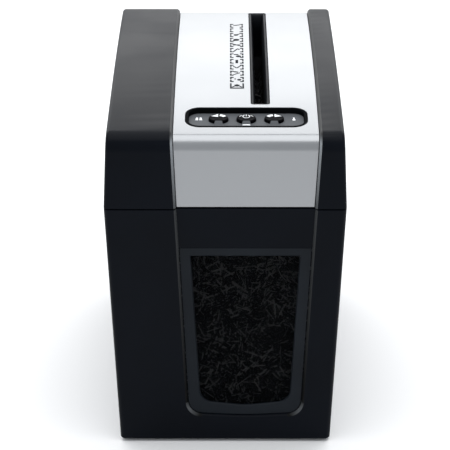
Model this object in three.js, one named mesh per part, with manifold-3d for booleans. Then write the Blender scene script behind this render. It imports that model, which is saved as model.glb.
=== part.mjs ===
// Slimline paper shredder: a lift-off shredding head on a tapered waste bin with a smoked window.
// Units are millimetres. +X is to the right, +Y to the back, +Z up.
// The origin is on the floor, under the middle.

import * as THREE from 'three';
import { mergeVertices } from 'three/addons/utils/BufferGeometryUtils.js';
import Module from 'manifold-3d';

const wasm = await Module();
wasm.setup();

// ---- Driving dimensions ----

const GAP = 0.3;                    // left between pieces that touch

// Outer shape
const SEAM_Z = 208;                 // top of the bin
const HEAD_Z = SEAM_Z + 0.9;        // bottom of the head cover
const CROWN_Z = 273;                // highest point of the head
const CROWN_RADIUS = 1600;          // the head's top is arched from front to back
const SEAM_HALF_WIDTH = 92.2;       // bin and head are widest at the seam
const SEAM_HALF_DEPTH = 146;
const HEAD_TOP_HALF_WIDTH = 89.25;
const HEAD_TOP_HALF_DEPTH = 144;
const HEAD_FRONT_RADIUS = 14;
const HEAD_BACK_RADIUS = 4.5;
const HEAD_SIDE_ROUND = 3;
const COVER_WALL = 2.4;

// Bin
const BIN_FOOT_HALF_WIDTH = 83.75;  // at floor level
const BIN_FOOT_HALF_DEPTH = 139.5;
const BIN_BOTTOM_Z = 2.3;
const BIN_WALL = 2.5;
const BIN_CORNER = 4;
const FOOT_RADIUS = 7;
const FOOT_HEIGHT = 2;
const FOOT_X = 70;
const FOOT_Y = 124;
const RIB = { x: 86.2, y: 106, width: 6, length: 10, bottomZ: 172 };  // four ribs that the head rests on
const HEAP_FRONT_DEPTH = 8.8;       // paper lies this far behind the bin's front face
const HEAP_TOP_Z = 171;

// Window, as outlines [x, z, corner radius] on the bin's front, and depths behind its face
const RECESS_DEPTH = 2.5;
const RECESS_WALL = 5;
const RECESS = [[-29.4, 25.4, 12], [16, 23, 260], [60.4, 25.4, 12], [68.8, 212], [-37.7, 212]];
const WINDOW_FRAME = [
  [-28.6, 26.2, 11.4], [16, 23.8, 260], [59.6, 26.2, 11.4], [66.3, 174.2, 1], [-35.2, 174.2, 1]];
const WINDOW_VIEW = [[-19.4, 36.4, 11], [16, 32.2, 60], [51, 36.4, 11], [57.2, 167], [-26.5, 167]];
const FRAME_DEPTHS = [2.8, 4.8];
const PANE_DEPTHS = [5.1, 6.6];
const PANE_MARGIN = 3;

// Silver panel
const PANEL_X = [-40, 71.2];        // its left and right edges at the crown
const PANEL_LEAN = [2.8, -3.2];     // how far the edges shift on the way down to the seam
const PANEL_BOTTOM_Z = HEAD_Z + 0.5;
const PANEL_DROP = 3;               // how far it lies below the side panels
const PANEL_WALL = 2;
const PANEL_BACK_Z = 250;           // it wraps over the back edge down to here

// Paper slot and its liner
const SLOT_X = 27;
const SLOT_HALF_WIDTH = 7.5;
const SLOT_Y = [-81.5, 137.4];
const THROAT_BOTTOM_Z = 227;
const THROAT_WALL = 1.4;
const NIP_HALF_WIDTH = 3.6;
const NIP_END_INSET = 4;
const FUNNEL_Z = [258, 270];        // where the sides narrow from the mouth to the nip
const FLAG_WINDOW = { y: [0, 5], topZ: 246 };

// Control recess, its buttons and lights
const TRAY_X = [-30.8, 62.9];
const TRAY_Y = [-121.1, -86.6];
const TRAY_CORNER = 14;
const TRAY_FLOOR_Z = 263.4;
const TRAY_FLOOR = 2;
const TRAY_RIM = 1.5;
const BUTTON_X = { reverse: -5.2, power: 16, forward: 37.3 };
const BUTTON_Y = -102.1;
const BUTTON_RADIUS = 7.7;
const BUTTON_FLANGE = 1.2;
const BUTTON_FLANGE_Z = [259.6, 261.1];
const BUTTON_TOP_Z = 265.7;
const BUTTON_CLEARANCE = 0.4;
const LENS_X = { bin_full: -20.3, overheat: 52.4 };
const LENS_Y = -99.8;
const LENS_RADIUS = 2.6;
const LENS_Z = [261.5, TRAY_FLOOR_Z + 0.4];
const LED_Y = -111.9;
const LED_SIZE = [6, 1.4];
const BOARD_X = [-26, 58];
const BOARD_Y = [-118, -91];
const BOARD_Z = [252.6, 254.2];
const SWITCH_TOP_Z = 257;

// Back of the head
const VENT = { first: -74, last: -50, pitch: 6, width: 3, z: [224, 250] };
const GLAND_AXIS = [-32, 224];
const GLAND_RADIUS = 7;
const GLAND_BORE = 3.6;
const GLAND_Y = [137.4, 145.2];

// Cutters
const CUTTER_X = [12, 43];          // the two cutter shafts, left and right
const CUTTER_Z = 206;
const CUTTER_RADIUS = 17;
const SPACER_RADIUS = 11;
const SHAFT_RADIUS = 6;
const SHAFT_SIDES = 10;
const DISC_WIDTH = 4.4;
const DISC_PITCH = 9.6;
const DISC_COUNT = 23;
const DISCS_START_Y = -90.6;
const SHAFT_BACK_Y = 134.7;
const SHAFT_FRONT_Y = { left: -131.5, right: -106.5 };
const COMB_CLEARANCE = 0.6;

// Frame plates, and three layers of gears in front of the front one
const FRONT_PLATE_Y = [-96, -94];
const BACK_PLATE_Y = [131.3, 133.3];
const GEAR_PLATE_Y = [-130, -128];
const PLATE_BOTTOM_Z = 176.4;
const SYNC_LAYER = [-106, -98];
const MIDDLE_LAYER = [-115, -107];
const DRIVE_LAYER = [-126, -116];
const TIE_RODS = {
  lower_left: [-10, 185],
  lower_right: [65, 185],
  upper_left: [-10, 221],
  upper_right: [65, 221],
};
const TIE_ROD_RADIUS = 3;
const TIE_ROD_Y = [-97.2, 134.4];
const BUSH_RADIUS = 9;
const BUSH_BORE = SHAFT_RADIUS + 0.4;
const BUSH_Y = { front: [-97.2, -92.6], back: [130.2, 134.6] };
const GEAR_PIN_Y = [-131, -93.9];
const PIN_RADIUS = 3;

// Motor
const MOTOR_AXIS = [-55, 216];
const MOTOR_RADIUS = 25;
const MOTOR_WALL = 1.5;
const MOTOR_Y = [-93.7, 12];
const MOTOR_CAP = 2;
const MOTOR_SHAFT_RADIUS = 2.5;
const MOTOR_SHAFT_Y = [-106.5, 8];
const ARMATURE_RADIUS = 20;
const ARMATURE_Y = [-86, 2];

// Teeth and modules, from the motor to the cutters
const MOTOR_PINION = { teeth: 10, module: 1 };
const FIRST_WHEEL = { teeth: 40, module: 1 };
const FIRST_PINION = { teeth: 10, module: 1.25 };
const SECOND_WHEEL = { teeth: 38, module: 1.25 };
const SECOND_PINION = { teeth: 10, module: 1.5 };
const DRIVE_WHEEL = { teeth: 34, module: 1.5 };
const SYNC_WHEEL = { teeth: 20, module: (CUTTER_X[1] - CUTTER_X[0]) / 20 };
const FIRST_AXIS_ANGLE = -0.66;     // direction of the first reduction axis from the motor, in radians

// Base of the head, its screws and its switches
const BASE_HALF_WIDTH = 82.6;       // lower tray of the head, hanging into the bin
const BASE_HALF_DEPTH = 137;
const BASE_BOTTOM_Z = 174;
const BASE_WALL = 2;
const FLANGE_HALF = [88.2, 137.6];
const FLANGE_Z = [209.2, 211.2];
const CHUTE = { x: [-4, 59], y: [-90.5, 127] };  // opening that the shreds fall through
const SCREW_X = 86;
const SCREW_Y = 130;
const BOSS_RADIUS = 3.2;
const BOSS_TOP_Z = 228;
const POWER_BOARD_Z = [179, 180.6];
const SAFETY_X = -86;
const SAFETY_Y = 62;
const SAFETY_TAB_Z = 205;
const SAFETY_PLUNGER_TOP_Z = 213.5;
const FLAG_PIVOT = [11, 243];
const FLAG_Y = [1.5, 3.5];

// ---- Materials ----

const finish = (color, roughness, metalness = 0) =>
  new THREE.MeshStandardMaterial({ color, roughness, metalness });

const BLACK_SHELL = finish(0x15181b, 0.42);
const BLACK_PLASTIC = finish(0x1b1d20, 0.55);
const SILVER = finish(0xc9cbcd, 0.32, 0.7);
const SLATE = finish(0x24292d, 0.35);
const GLOSS_BLACK = finish(0x060607, 0.12);
const TRAY_GREY = finish(0x4a4d52, 0.6);
const WHITE_LENS = finish(0xf2f4f5, 0.3);
const SMOKE = new THREE.MeshStandardMaterial({
  color: 0x0a0c0e, roughness: 0.08, transparent: true, opacity: 0.5,
});
const PAPER = finish(0xd6d6d2, 0.9);
const RUBBER = finish(0x101010, 0.9);
const STEEL = finish(0x8d9094, 0.4, 0.9);
const DARK_STEEL = finish(0x4b4e52, 0.45, 0.85);
const NYLON = finish(0xe6e2d6, 0.5);
const BRONZE = finish(0xa9814a, 0.4, 0.8);
const BOARD_GREEN = finish(0x1f5a38, 0.5);

// ---- Geometry helpers ----

const model = new THREE.Group();

/** A three.js geometry as a manifold solid. */
function solid(geometry) {
  const bare = geometry.clone();
  bare.deleteAttribute('normal');
  bare.deleteAttribute('uv');
  const merged = mergeVertices(bare, 1e-4);
  return new wasm.Manifold(new wasm.Mesh({
    numProp: 3,
    vertProperties: new Float32Array(merged.attributes.position.array),
    triVerts: new Uint32Array(merged.index.array),
  }));
}

/** A manifold solid as a three.js geometry. */
function geometryOf(body) {
  const found = body.getMesh();
  const geometry = new THREE.BufferGeometry();
  geometry.setAttribute('position', new THREE.BufferAttribute(found.vertProperties, 3));
  geometry.setIndex(new THREE.BufferAttribute(found.triVerts, 1));
  geometry.computeVertexNormals();
  return geometry;
}

/** Adds a named piece to the model. Shape is a geometry or a manifold solid. */
function piece(name, shape, material) {
  const geometry = shape.isBufferGeometry ? shape : geometryOf(shape);
  const mesh = new THREE.Mesh(geometry, material);
  mesh.name = name;
  model.add(mesh);
}

const join = (...shapes) => shapes.map(toSolid).reduce((a, b) => a.add(b));
const cut = (shape, ...tools) => tools.map(toSolid).reduce((a, b) => a.subtract(b), toSolid(shape));
const common = (a, b) => toSolid(a).intersect(toSolid(b));

function toSolid(shape) {
  return shape.isBufferGeometry ? solid(shape) : shape;
}

/** A box between two values on each axis. */
function box([x0, x1], [y0, y1], [z0, z1]) {
  const geometry = new THREE.BoxGeometry(x1 - x0, y1 - y0, z1 - z0);
  return geometry.translate((x0 + x1) / 2, (y0 + y1) / 2, (z0 + z1) / 2);
}

/** The two ends of a length centred on a value. */
const around = (middle, length) => [middle - length / 2, middle + length / 2];

/** Calls make(name, [x, y]) at the four corners of a rectangle round the origin. */
function forEachCorner(x, y, make) {
  for (const [end, endY] of [['front', -y], ['back', y]]) {
    make(`${end}_left`, [-x, endY]);
    make(`${end}_right`, [x, endY]);
  }
}

/** Moves each corner of a geometry by a rule that changes the point given to it. */
function warp(geometry, rule) {
  const points = geometry.attributes.position;
  const point = new THREE.Vector3();
  for (let i = 0; i < points.count; i += 1) {
    point.fromBufferAttribute(points, i);
    rule(point);
    points.setXYZ(i, point.x, point.y, point.z);
  }
  return geometry;
}

/** A closed outline through corners [x, y, radius]; a corner with no radius stays sharp. */
function outline(corners, arcSteps = 3) {
  const points = [];
  corners.forEach(([x, y, radius = 0], i) => {
    const corner = new THREE.Vector2(x, y);
    if (!radius) {
      points.push(corner);
      return;
    }
    const before = corners[(i + corners.length - 1) % corners.length];
    const after = corners[(i + 1) % corners.length];
    const toBefore = new THREE.Vector2(before[0] - x, before[1] - y).normalize();
    const toAfter = new THREE.Vector2(after[0] - x, after[1] - y).normalize();
    const half = Math.acos(THREE.MathUtils.clamp(toBefore.dot(toAfter), -1, 1)) / 2;
    const inward = toBefore.clone().add(toAfter).normalize();
    const centre = inward.multiplyScalar(radius / Math.sin(half)).add(corner);
    const start = toBefore.multiplyScalar(radius / Math.tan(half)).add(corner).sub(centre);
    const end = toAfter.multiplyScalar(radius / Math.tan(half)).add(corner).sub(centre);
    const turn = Math.atan2(start.cross(end), start.dot(end));
    for (let k = 0; k <= arcSteps; k += 1) {
      points.push(start.clone().rotateAround(new THREE.Vector2(), turn * k / arcSteps).add(centre));
    }
  });
  return new THREE.Shape(points);
}

const rectangle = ([x0, x1], [y0, y1], radius = 0, arcSteps = 3) =>
  outline([[x0, y0, radius], [x1, y0, radius], [x1, y1, radius], [x0, y1, radius]], arcSteps);

/** Extrusions along Z, Y (from an outline in X and Z) and X (from an outline in Y and Z). */
function extrudeZ(shape, [z0, z1], options = {}) {
  const geometry = new THREE.ExtrudeGeometry(shape, { depth: z1 - z0, bevelEnabled: false, ...options });
  return geometry.translate(0, 0, z0);
}

function extrudeY(shape, [y0, y1]) {
  const geometry = new THREE.ExtrudeGeometry(shape, { depth: y1 - y0, bevelEnabled: false });
  return geometry.rotateX(Math.PI / 2).translate(0, y1, 0);
}

function extrudeX(shape, [x0, x1], options = {}) {
  const geometry = new THREE.ExtrudeGeometry(shape, { depth: x1 - x0, bevelEnabled: false, ...options });
  const toYZ = new THREE.Matrix4().makeBasis(
    new THREE.Vector3(0, 1, 0), new THREE.Vector3(0, 0, 1), new THREE.Vector3(1, 0, 0));
  return geometry.applyMatrix4(toYZ).translate(x0, 0, 0);
}

/** Options that round an extrusion's two ends within its own outline. */
const rounding = (radius) => ({
  bevelEnabled: radius > 0,
  bevelThickness: radius,
  bevelSize: radius,
  bevelOffset: -radius,
  bevelSegments: 2,
});

/** A turned shape from [radius, height] pairs, from its low end up; it starts and ends on the axis. */
function turned(pairs, segments) {
  return new THREE.LatheGeometry(pairs.map(([r, h]) => new THREE.Vector2(r, h)), segments);
}

/** Turned shapes that stand on an axis along Y or Z. */
const turnedY = (pairs, [x, z], segments = 12) => turned(pairs, segments).translate(x, 0, z);
const turnedZ = (pairs, [x, y], segments = 16) =>
  turned(pairs, segments).rotateX(Math.PI / 2).translate(x, y, 0);

const rodPairs = (radius, [low, high]) => [[0, low], [radius, low], [radius, high], [0, high]];
const ringPairs = (inner, outer, [low, high]) =>
  [[inner, low], [outer, low], [outer, high], [inner, high], [inner, low]];
const rodY = (radius, span, axis, segments) => turnedY(rodPairs(radius, span), axis, segments);
const rodZ = (radius, span, axis, segments) => turnedZ(rodPairs(radius, span), axis, segments);

// ---- Outer surfaces of head and bin ----

const crownHeight = (y) => CROWN_Z - y * y / (2 * CROWN_RADIUS);

/** Half width of the head at a height: its sides lean in towards the top. */
function headHalfWidth(z) {
  const up = (z - SEAM_Z) / (CROWN_Z - SEAM_Z);
  return THREE.MathUtils.lerp(SEAM_HALF_WIDTH, HEAD_TOP_HALF_WIDTH, up);
}

/** The head's outline seen from the side, drawn in by an inset on the front, top and back. */
function headProfile(inset) {
  const seam = SEAM_HALF_DEPTH - inset;
  const top = HEAD_TOP_HALF_DEPTH - inset;
  const crown = [];
  for (let y = -112; y <= 112; y += 28) {
    crown.push([-y, crownHeight(y) - inset]);
  }
  return outline([
    [-seam, SEAM_Z - 10],
    [seam, SEAM_Z - 10],
    [seam, SEAM_Z],
    [top, crownHeight(top) - inset, Math.max(HEAD_BACK_RADIUS - inset, 1)],
    ...crown,
    [-top, crownHeight(top) - inset, Math.max(HEAD_FRONT_RADIUS - inset, 3)],
    [-seam, SEAM_Z],
  ], 5);
}

/** A block between the head's walls, inset on front, top and back, and by side on the left and right. */
function headBlock(inset, side = 0, round = 0) {
  const half = SEAM_HALF_WIDTH - side;
  const block = extrudeX(headProfile(inset), [round - half, half - round], rounding(round));
  return warp(block, (p) => {
    p.x *= (headHalfWidth(p.z) - side) / half;
  });
}

/** Where the bin's front face is at a height; its back is the same distance behind. */
const binHalfDepth = (z) => THREE.MathUtils.lerp(BIN_FOOT_HALF_DEPTH, SEAM_HALF_DEPTH, z / SEAM_Z);
const binHalfWidth = (z) => THREE.MathUtils.lerp(BIN_FOOT_HALF_WIDTH, SEAM_HALF_WIDTH, z / SEAM_Z);

/** A block that tapers with the bin, inset by wall on the sides and back and by front on the front. */
function binBlock(wall, front, [z0, z1], round = 0) {
  const corner = Math.max(BIN_CORNER - wall, 1.5);
  const wide = SEAM_HALF_WIDTH - wall;
  const shape = rectangle([-wide, wide], [front - SEAM_HALF_DEPTH, SEAM_HALF_DEPTH - wall], corner);
  const block = extrudeZ(shape, [z0 + round, z1], rounding(round));
  return warp(block, (p) => {
    p.x -= Math.sign(p.x) * (SEAM_HALF_WIDTH - binHalfWidth(p.z));
    p.y -= Math.sign(p.y) * (SEAM_HALF_DEPTH - binHalfDepth(p.z));
  });
}

/** A plate that lies along the bin's sloping front, between two depths behind its outer face. */
function frontPlate(shape, depths) {
  return warp(extrudeY(shape, depths), (p) => {
    p.y -= binHalfDepth(p.z);
  });
}

// ---- Bin ----

/** The same corners, moved out from a middle point by a margin on each side. */
const grown = (corners, margin, [midX, midZ] = [16, 100]) =>
  corners.map(([x, z, r]) => [x + Math.sign(x - midX) * margin, z + Math.sign(z - midZ) * margin, r]);

function binBody() {
  const cavity = cut(
    binBlock(BIN_WALL, BIN_WALL, [BIN_BOTTOM_Z + BIN_WALL, SEAM_Z + 5]),
    frontPlate(outline(grown(RECESS, BIN_WALL)), [-1, RECESS_WALL]));
  const shell = cut(
    binBlock(0, 0, [BIN_BOTTOM_Z, SEAM_Z + 8], BIN_CORNER - 1),
    box([-150, 150], [-200, 200], [SEAM_Z, SEAM_Z + 20]),
    cavity,
    frontPlate(outline(RECESS), [-10, RECESS_DEPTH]),
    frontPlate(outline(grown(WINDOW_FRAME, GAP)), [0, 10]));
  const ribs = [];
  for (const x of [-RIB.x, RIB.x]) {
    for (const y of [-RIB.y, RIB.y]) {
      ribs.push(box(around(x, RIB.width), around(y, RIB.length), [RIB.bottomZ, HEAD_Z]));
    }
  }
  const safetyTab = box(around(SAFETY_X, 6), around(SAFETY_Y, 8), [RIB.bottomZ, SAFETY_TAB_Z]);
  return join(shell, ...ribs, safetyTab);
}

function paperHeap() {
  const side = outline([[-150, 5], [150, 5], [150, 78], [-40, 150], [-90, HEAP_TOP_Z], [-150, HEAP_TOP_Z]]);
  return common(extrudeX(side, [-100, 100]), binBlock(3.5, HEAP_FRONT_DEPTH, [5.5, HEAP_TOP_Z]));
}

function buildBin() {
  piece('bin_body', binBody(), BLACK_SHELL);
  piece('window_frame', cut(
    frontPlate(outline(WINDOW_FRAME), FRAME_DEPTHS),
    frontPlate(outline(WINDOW_VIEW), [0, 10])), SLATE);
  piece('window_pane', frontPlate(outline(grown(WINDOW_VIEW, PANE_MARGIN)), PANE_DEPTHS), SMOKE);
  piece('paper_shreds', paperHeap(), PAPER);
  forEachCorner(FOOT_X, FOOT_Y, (corner, at) => {
    piece(`foot_${corner}`, rodZ(FOOT_RADIUS, [0, FOOT_HEIGHT], at, 14), RUBBER);
  });
}

// ---- Head: covers and controls ----

const slotOpening = (margin) => box(
  [SLOT_X - SLOT_HALF_WIDTH - margin, SLOT_X + SLOT_HALF_WIDTH + margin],
  [SLOT_Y[0] - margin, SLOT_Y[1] + margin], [THROAT_BOTTOM_Z - 1, 290]);

const trayOutline = (margin) => rectangle(
  [TRAY_X[0] - margin, TRAY_X[1] + margin],
  [TRAY_Y[0] - margin, TRAY_Y[1] + margin],
  TRAY_CORNER + margin, 4);

/** The band that the silver panel covers, up the head's front, over its top and onto its back. */
function panelBand(margin, bottomZ) {
  const topZ = 300;
  const down = (z) => (CROWN_Z - z) / (CROWN_Z - SEAM_Z);
  const left = (z) => PANEL_X[0] + PANEL_LEAN[0] * down(z) - margin;
  const right = (z) => PANEL_X[1] + PANEL_LEAN[1] * down(z) + margin;
  const band = outline([
    [left(bottomZ), bottomZ], [right(bottomZ), bottomZ], [right(topZ), topZ], [left(topZ), topZ]]);
  return cut(extrudeY(band, [-200, 200]), box([-200, 200], [100, 250], [0, PANEL_BACK_Z - margin]));
}

/** A boss for a screw, with a web to the cover's side wall. */
function screwBoss([x, y]) {
  const span = [FLANGE_Z[1] + GAP, BOSS_TOP_Z];
  const web = box(around(x + Math.sign(x) * 2, 5), around(y, 3), span);
  return common(join(rodZ(BOSS_RADIUS, span, [x, y], 8), web), headBlock(1, 1));
}

function headCover() {
  const lowered = PANEL_DROP + PANEL_WALL + GAP;
  const channel = cut(panelBand(GAP, 190), headBlock(lowered));
  const cavity = join(
    cut(
      headBlock(COVER_WALL, COVER_WALL),
      box([PANEL_X[0] - COVER_WALL, PANEL_X[1] + COVER_WALL], [-200, 200], [0, 300])),
    headBlock(lowered + COVER_WALL, COVER_WALL));
  let cover = cut(
    headBlock(0, 0, HEAD_SIDE_ROUND), box([-200, 200], [-200, 200], [0, HEAD_Z]), channel, cavity,
    slotOpening(GAP), extrudeZ(trayOutline(GAP), [240, 290]));
  forEachCorner(SCREW_X, SCREW_Y, (corner, at) => {
    cover = cut(join(cover, screwBoss(at)), rodZ(1.6, [200, BOSS_TOP_Z - 4], at, 6));
  });
  const vents = [];
  for (let x = VENT.first; x <= VENT.last; x += VENT.pitch) {
    vents.push(box(around(x, VENT.width), [130, 160], VENT.z));
  }
  return cut(cover, ...vents, rodY(GLAND_RADIUS + GAP, [130, 160], GLAND_AXIS, 16));
}

function topPanel() {
  return cut(
    common(panelBand(0, PANEL_BOTTOM_Z), headBlock(PANEL_DROP)),
    headBlock(PANEL_DROP + PANEL_WALL),
    slotOpening(0),
    extrudeZ(trayOutline(0), [240, 290]));
}

function slotThroat() {
  const outer = [SLOT_X - SLOT_HALF_WIDTH + GAP, SLOT_X + SLOT_HALF_WIDTH - GAP];
  const ends = [SLOT_Y[0] + GAP, SLOT_Y[1] - GAP];
  const mouth = SLOT_HALF_WIDTH - THROAT_WALL;
  const low = THROAT_BOTTOM_Z - 5;
  const [nipZ, mouthZ] = FUNNEL_Z;
  const funnel = outline([
    [SLOT_X - NIP_HALF_WIDTH, low], [SLOT_X + NIP_HALF_WIDTH, low],
    [SLOT_X + NIP_HALF_WIDTH, nipZ], [SLOT_X + mouth, mouthZ], [SLOT_X + mouth, 290],
    [SLOT_X - mouth, 290], [SLOT_X - mouth, mouthZ], [SLOT_X - NIP_HALF_WIDTH, nipZ]]);
  const inside = warp(extrudeY(funnel, [ends[0] + THROAT_WALL, ends[1] - THROAT_WALL]), (p) => {
    p.y -= Math.sign(p.y) * (p.z < nipZ + 2 ? NIP_END_INSET : 0);
  });
  return cut(
    common(box(outer, ends, [THROAT_BOTTOM_Z, 290]), headBlock(PANEL_DROP + GAP)),
    inside,
    box([SLOT_X - 10, SLOT_X], FLAG_WINDOW.y, [low, FLAG_WINDOW.topZ]));
}

function controlTray() {
  const drilled = (radius, at, sides) => rodZ(radius, [250, 290], at, sides);
  const holes = [
    ...Object.values(BUTTON_X).map((x) => drilled(BUTTON_RADIUS + BUTTON_CLEARANCE, [x, BUTTON_Y], 14)),
    ...Object.values(LENS_X).map((x) => drilled(LENS_RADIUS + GAP, [x, LENS_Y], 12)),
    box(around(BUTTON_X.power, LED_SIZE[0] + 2 * GAP), around(LED_Y, LED_SIZE[1] + 2 * GAP), [250, 290]),
  ];
  return cut(
    common(extrudeZ(trayOutline(-GAP), [TRAY_FLOOR_Z - TRAY_FLOOR, 290]), headBlock(PANEL_DROP - GAP)),
    extrudeZ(trayOutline(-TRAY_RIM), [TRAY_FLOOR_Z, 290]),
    ...holes);
}

/** A round button with a dished top, a flange under the tray and a short stem over its switch. */
function button(x) {
  const [low, high] = BUTTON_FLANGE_Z;
  const flange = BUTTON_RADIUS + BUTTON_FLANGE;
  return turnedZ([
    [0, low - 1.3], [2, low - 1.3], [2, low], [flange, low], [flange, high], [BUTTON_RADIUS, high],
    [BUTTON_RADIUS, BUTTON_TOP_Z - 0.5], [BUTTON_RADIUS - 0.8, BUTTON_TOP_Z],
    [3.4, BUTTON_TOP_Z - 0.8], [0, BUTTON_TOP_Z - 1],
  ], [x, BUTTON_Y], 14);
}

function controlBoard() {
  const under = BOARD_Z[0] + 1;
  const switches = Object.values(BUTTON_X).map((x) =>
    box(around(x, 6), around(BUTTON_Y, 6), [under, SWITCH_TOP_Z]));
  const lamps = Object.values(LENS_X).map((x) => rodZ(1.6, [under, 259.5], [x, LENS_Y], 8));
  const connector = box([38, 52], [-98.5, -93.5], [246, BOARD_Z[0] + 0.5]);
  return join(box(BOARD_X, BOARD_Y, BOARD_Z), ...switches, ...lamps, connector);
}

function buildControls() {
  piece('head_cover', headCover(), BLACK_SHELL);
  piece('top_panel', topPanel(), SILVER);
  piece('slot_throat', slotThroat(), BLACK_PLASTIC);
  piece('control_tray', controlTray(), TRAY_GREY);
  for (const [name, x] of Object.entries(BUTTON_X)) {
    piece(`button_${name}`, button(x), GLOSS_BLACK);
  }
  for (const [name, x] of Object.entries(LENS_X)) {
    piece(`lens_${name}`, rodZ(LENS_RADIUS, LENS_Z, [x, LENS_Y], 12), WHITE_LENS);
  }
  const ledX = around(BUTTON_X.power, LED_SIZE[0]);
  piece('power_light', box(ledX, around(LED_Y, LED_SIZE[1]), LENS_Z), WHITE_LENS);
  piece('control_board', controlBoard(), BOARD_GREEN);
  piece('cord_gland', turnedY(ringPairs(GLAND_BORE, GLAND_RADIUS, GLAND_Y), GLAND_AXIS, 16), RUBBER);
}

// ---- Head: base, frame and drive ----

function headBase() {
  const [half, deep] = [BASE_HALF_WIDTH, BASE_HALF_DEPTH];
  const floorZ = BASE_BOTTOM_Z + BASE_WALL;
  const tray = join(
    box([-half, half], [-deep, deep], [BASE_BOTTOM_Z, FLANGE_Z[1]]),
    box([-FLANGE_HALF[0], FLANGE_HALF[0]], [-FLANGE_HALF[1], FLANGE_HALF[1]], FLANGE_Z));
  const holes = [rodZ(1.9, [200, 220], [SAFETY_X, SAFETY_Y], 8)];
  forEachCorner(SCREW_X, SCREW_Y, (corner, at) => {
    holes.push(rodZ(1.7, [200, 220], at, 8));
  });
  return cut(
    tray,
    box([BASE_WALL - half, half - BASE_WALL], [BASE_WALL - deep, deep - BASE_WALL], [floorZ, 220]),
    box(CHUTE.x, CHUTE.y, [BASE_BOTTOM_Z - 5, floorZ + 3]),
    ...holes);
}

/** Screw with a shallow head under the flange. */
function screw(at) {
  const headTop = FLANGE_Z[0] - 0.1;
  return turnedZ([[0, 207.2], [2.3, 207.2], [2.3, headTop], [1.3, headTop], [1.3, 222], [0, 223.4]], at, 8);
}

const discStart = (k) => DISCS_START_Y + k * DISC_PITCH;

/** A cutter: a shaft with discs on it. Offset shifts its discs between the other cutter's. */
function cutter(axis, offset, count, [low, high]) {
  const pairs = [[0, low], [SHAFT_RADIUS, low], [SHAFT_RADIUS, discStart(0) + offset - 1]];
  pairs.push([SPACER_RADIUS, discStart(0) + offset - 1]);
  for (let k = 0; k < count; k += 1) {
    const y = discStart(k) + offset;
    pairs.push([SPACER_RADIUS, y], [CUTTER_RADIUS, y], [CUTTER_RADIUS, y + DISC_WIDTH]);
    pairs.push([SPACER_RADIUS, y + DISC_WIDTH]);
  }
  const end = discStart(count - 1) + offset + DISC_WIDTH + 1;
  pairs.push([SPACER_RADIUS, end], [SHAFT_RADIUS, end], [SHAFT_RADIUS, high], [0, high]);
  const fresh = pairs.filter(([r, y], i) => !i || r !== pairs[i - 1][0] || y !== pairs[i - 1][1]);
  return turnedY(fresh, axis, SHAFT_SIDES);
}

/** A comb whose fingers reach between one cutter's discs and strip the paper off them. */
function stripperComb([outer, inner], tip, offset, gaps) {
  const half = (DISC_PITCH - DISC_WIDTH) / 2 - 0.5;
  const ends = [FRONT_PLATE_Y[1] + GAP, BACK_PLATE_Y[0] - GAP];
  const points = [[outer, ends[0]], [inner, ends[0]]];
  for (let k = 0; k < gaps; k += 1) {
    const middle = discStart(k) + offset + (DISC_WIDTH + DISC_PITCH) / 2;
    points.push([inner, middle - half], [tip, middle - half], [tip, middle + half], [inner, middle + half]);
  }
  points.push([inner, ends[1]], [outer, ends[1]]);
  return extrudeZ(outline(points), [CUTTER_Z - 6, CUTTER_Z + 6]);
}

/** The third corner of a triangle whose sides from a and b are known, on the left of the way from a to b. */
function apex([ax, az], [bx, bz], fromA, fromB) {
  const apart = Math.hypot(bx - ax, bz - az);
  const along = (fromA ** 2 - fromB ** 2 + apart ** 2) / (2 * apart);
  const across = Math.sqrt(fromA ** 2 - along ** 2);
  const unit = [(bx - ax) / apart, (bz - az) / apart];
  return [ax + along * unit[0] - across * unit[1], az + along * unit[1] + across * unit[0]];
}

const pitchRadius = ({ teeth, module }) => teeth * module / 2;
const centreDistance = (a, b) => pitchRadius(a) + pitchRadius(b);

const CUTTER_AXES = CUTTER_X.map((x) => [x, CUTTER_Z]);
const FIRST_AXIS = [
  MOTOR_AXIS[0] + centreDistance(MOTOR_PINION, FIRST_WHEEL) * Math.cos(FIRST_AXIS_ANGLE),
  MOTOR_AXIS[1] + centreDistance(MOTOR_PINION, FIRST_WHEEL) * Math.sin(FIRST_AXIS_ANGLE)];
const SECOND_AXIS = apex(
  FIRST_AXIS, CUTTER_AXES[0],
  centreDistance(FIRST_PINION, SECOND_WHEEL), centreDistance(SECOND_PINION, DRIVE_WHEEL));

/** The angle of a tooth on a second gear that meshes with a first one's tooth at a known angle. */
function meshPhase(first, firstAxis, firstPhase, second, secondAxis) {
  const towards = Math.atan2(secondAxis[1] - firstAxis[1], secondAxis[0] - firstAxis[0]);
  return towards + Math.PI - (first.teeth / second.teeth) * (firstPhase - towards) - Math.PI / second.teeth;
}

/** A spur gear with straight-sided teeth, thin enough to run clear, on an axis along Y. */
function gear(wheel, axis, span, phase) {
  const { teeth, module } = wheel;
  const radius = pitchRadius(wheel);
  const pitch = 2 * Math.PI / teeth;
  const root = radius - 1.2 * module;
  const tip = radius + 0.85 * module;
  const points = [];
  for (let k = 0; k < teeth; k += 1) {
    const middle = phase + k * pitch;
    for (const [r, share] of [[root, -0.28], [tip, -0.11], [tip, 0.11], [root, 0.28]]) {
      const angle = middle + share * pitch;
      points.push(new THREE.Vector2(axis[0] + r * Math.cos(angle), axis[1] + r * Math.sin(angle)));
    }
  }
  return extrudeY(new THREE.Shape(points), span);
}

const bored = (shape, radius, axis) => cut(shape, rodY(radius, [-200, 200], axis, 12));

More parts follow.
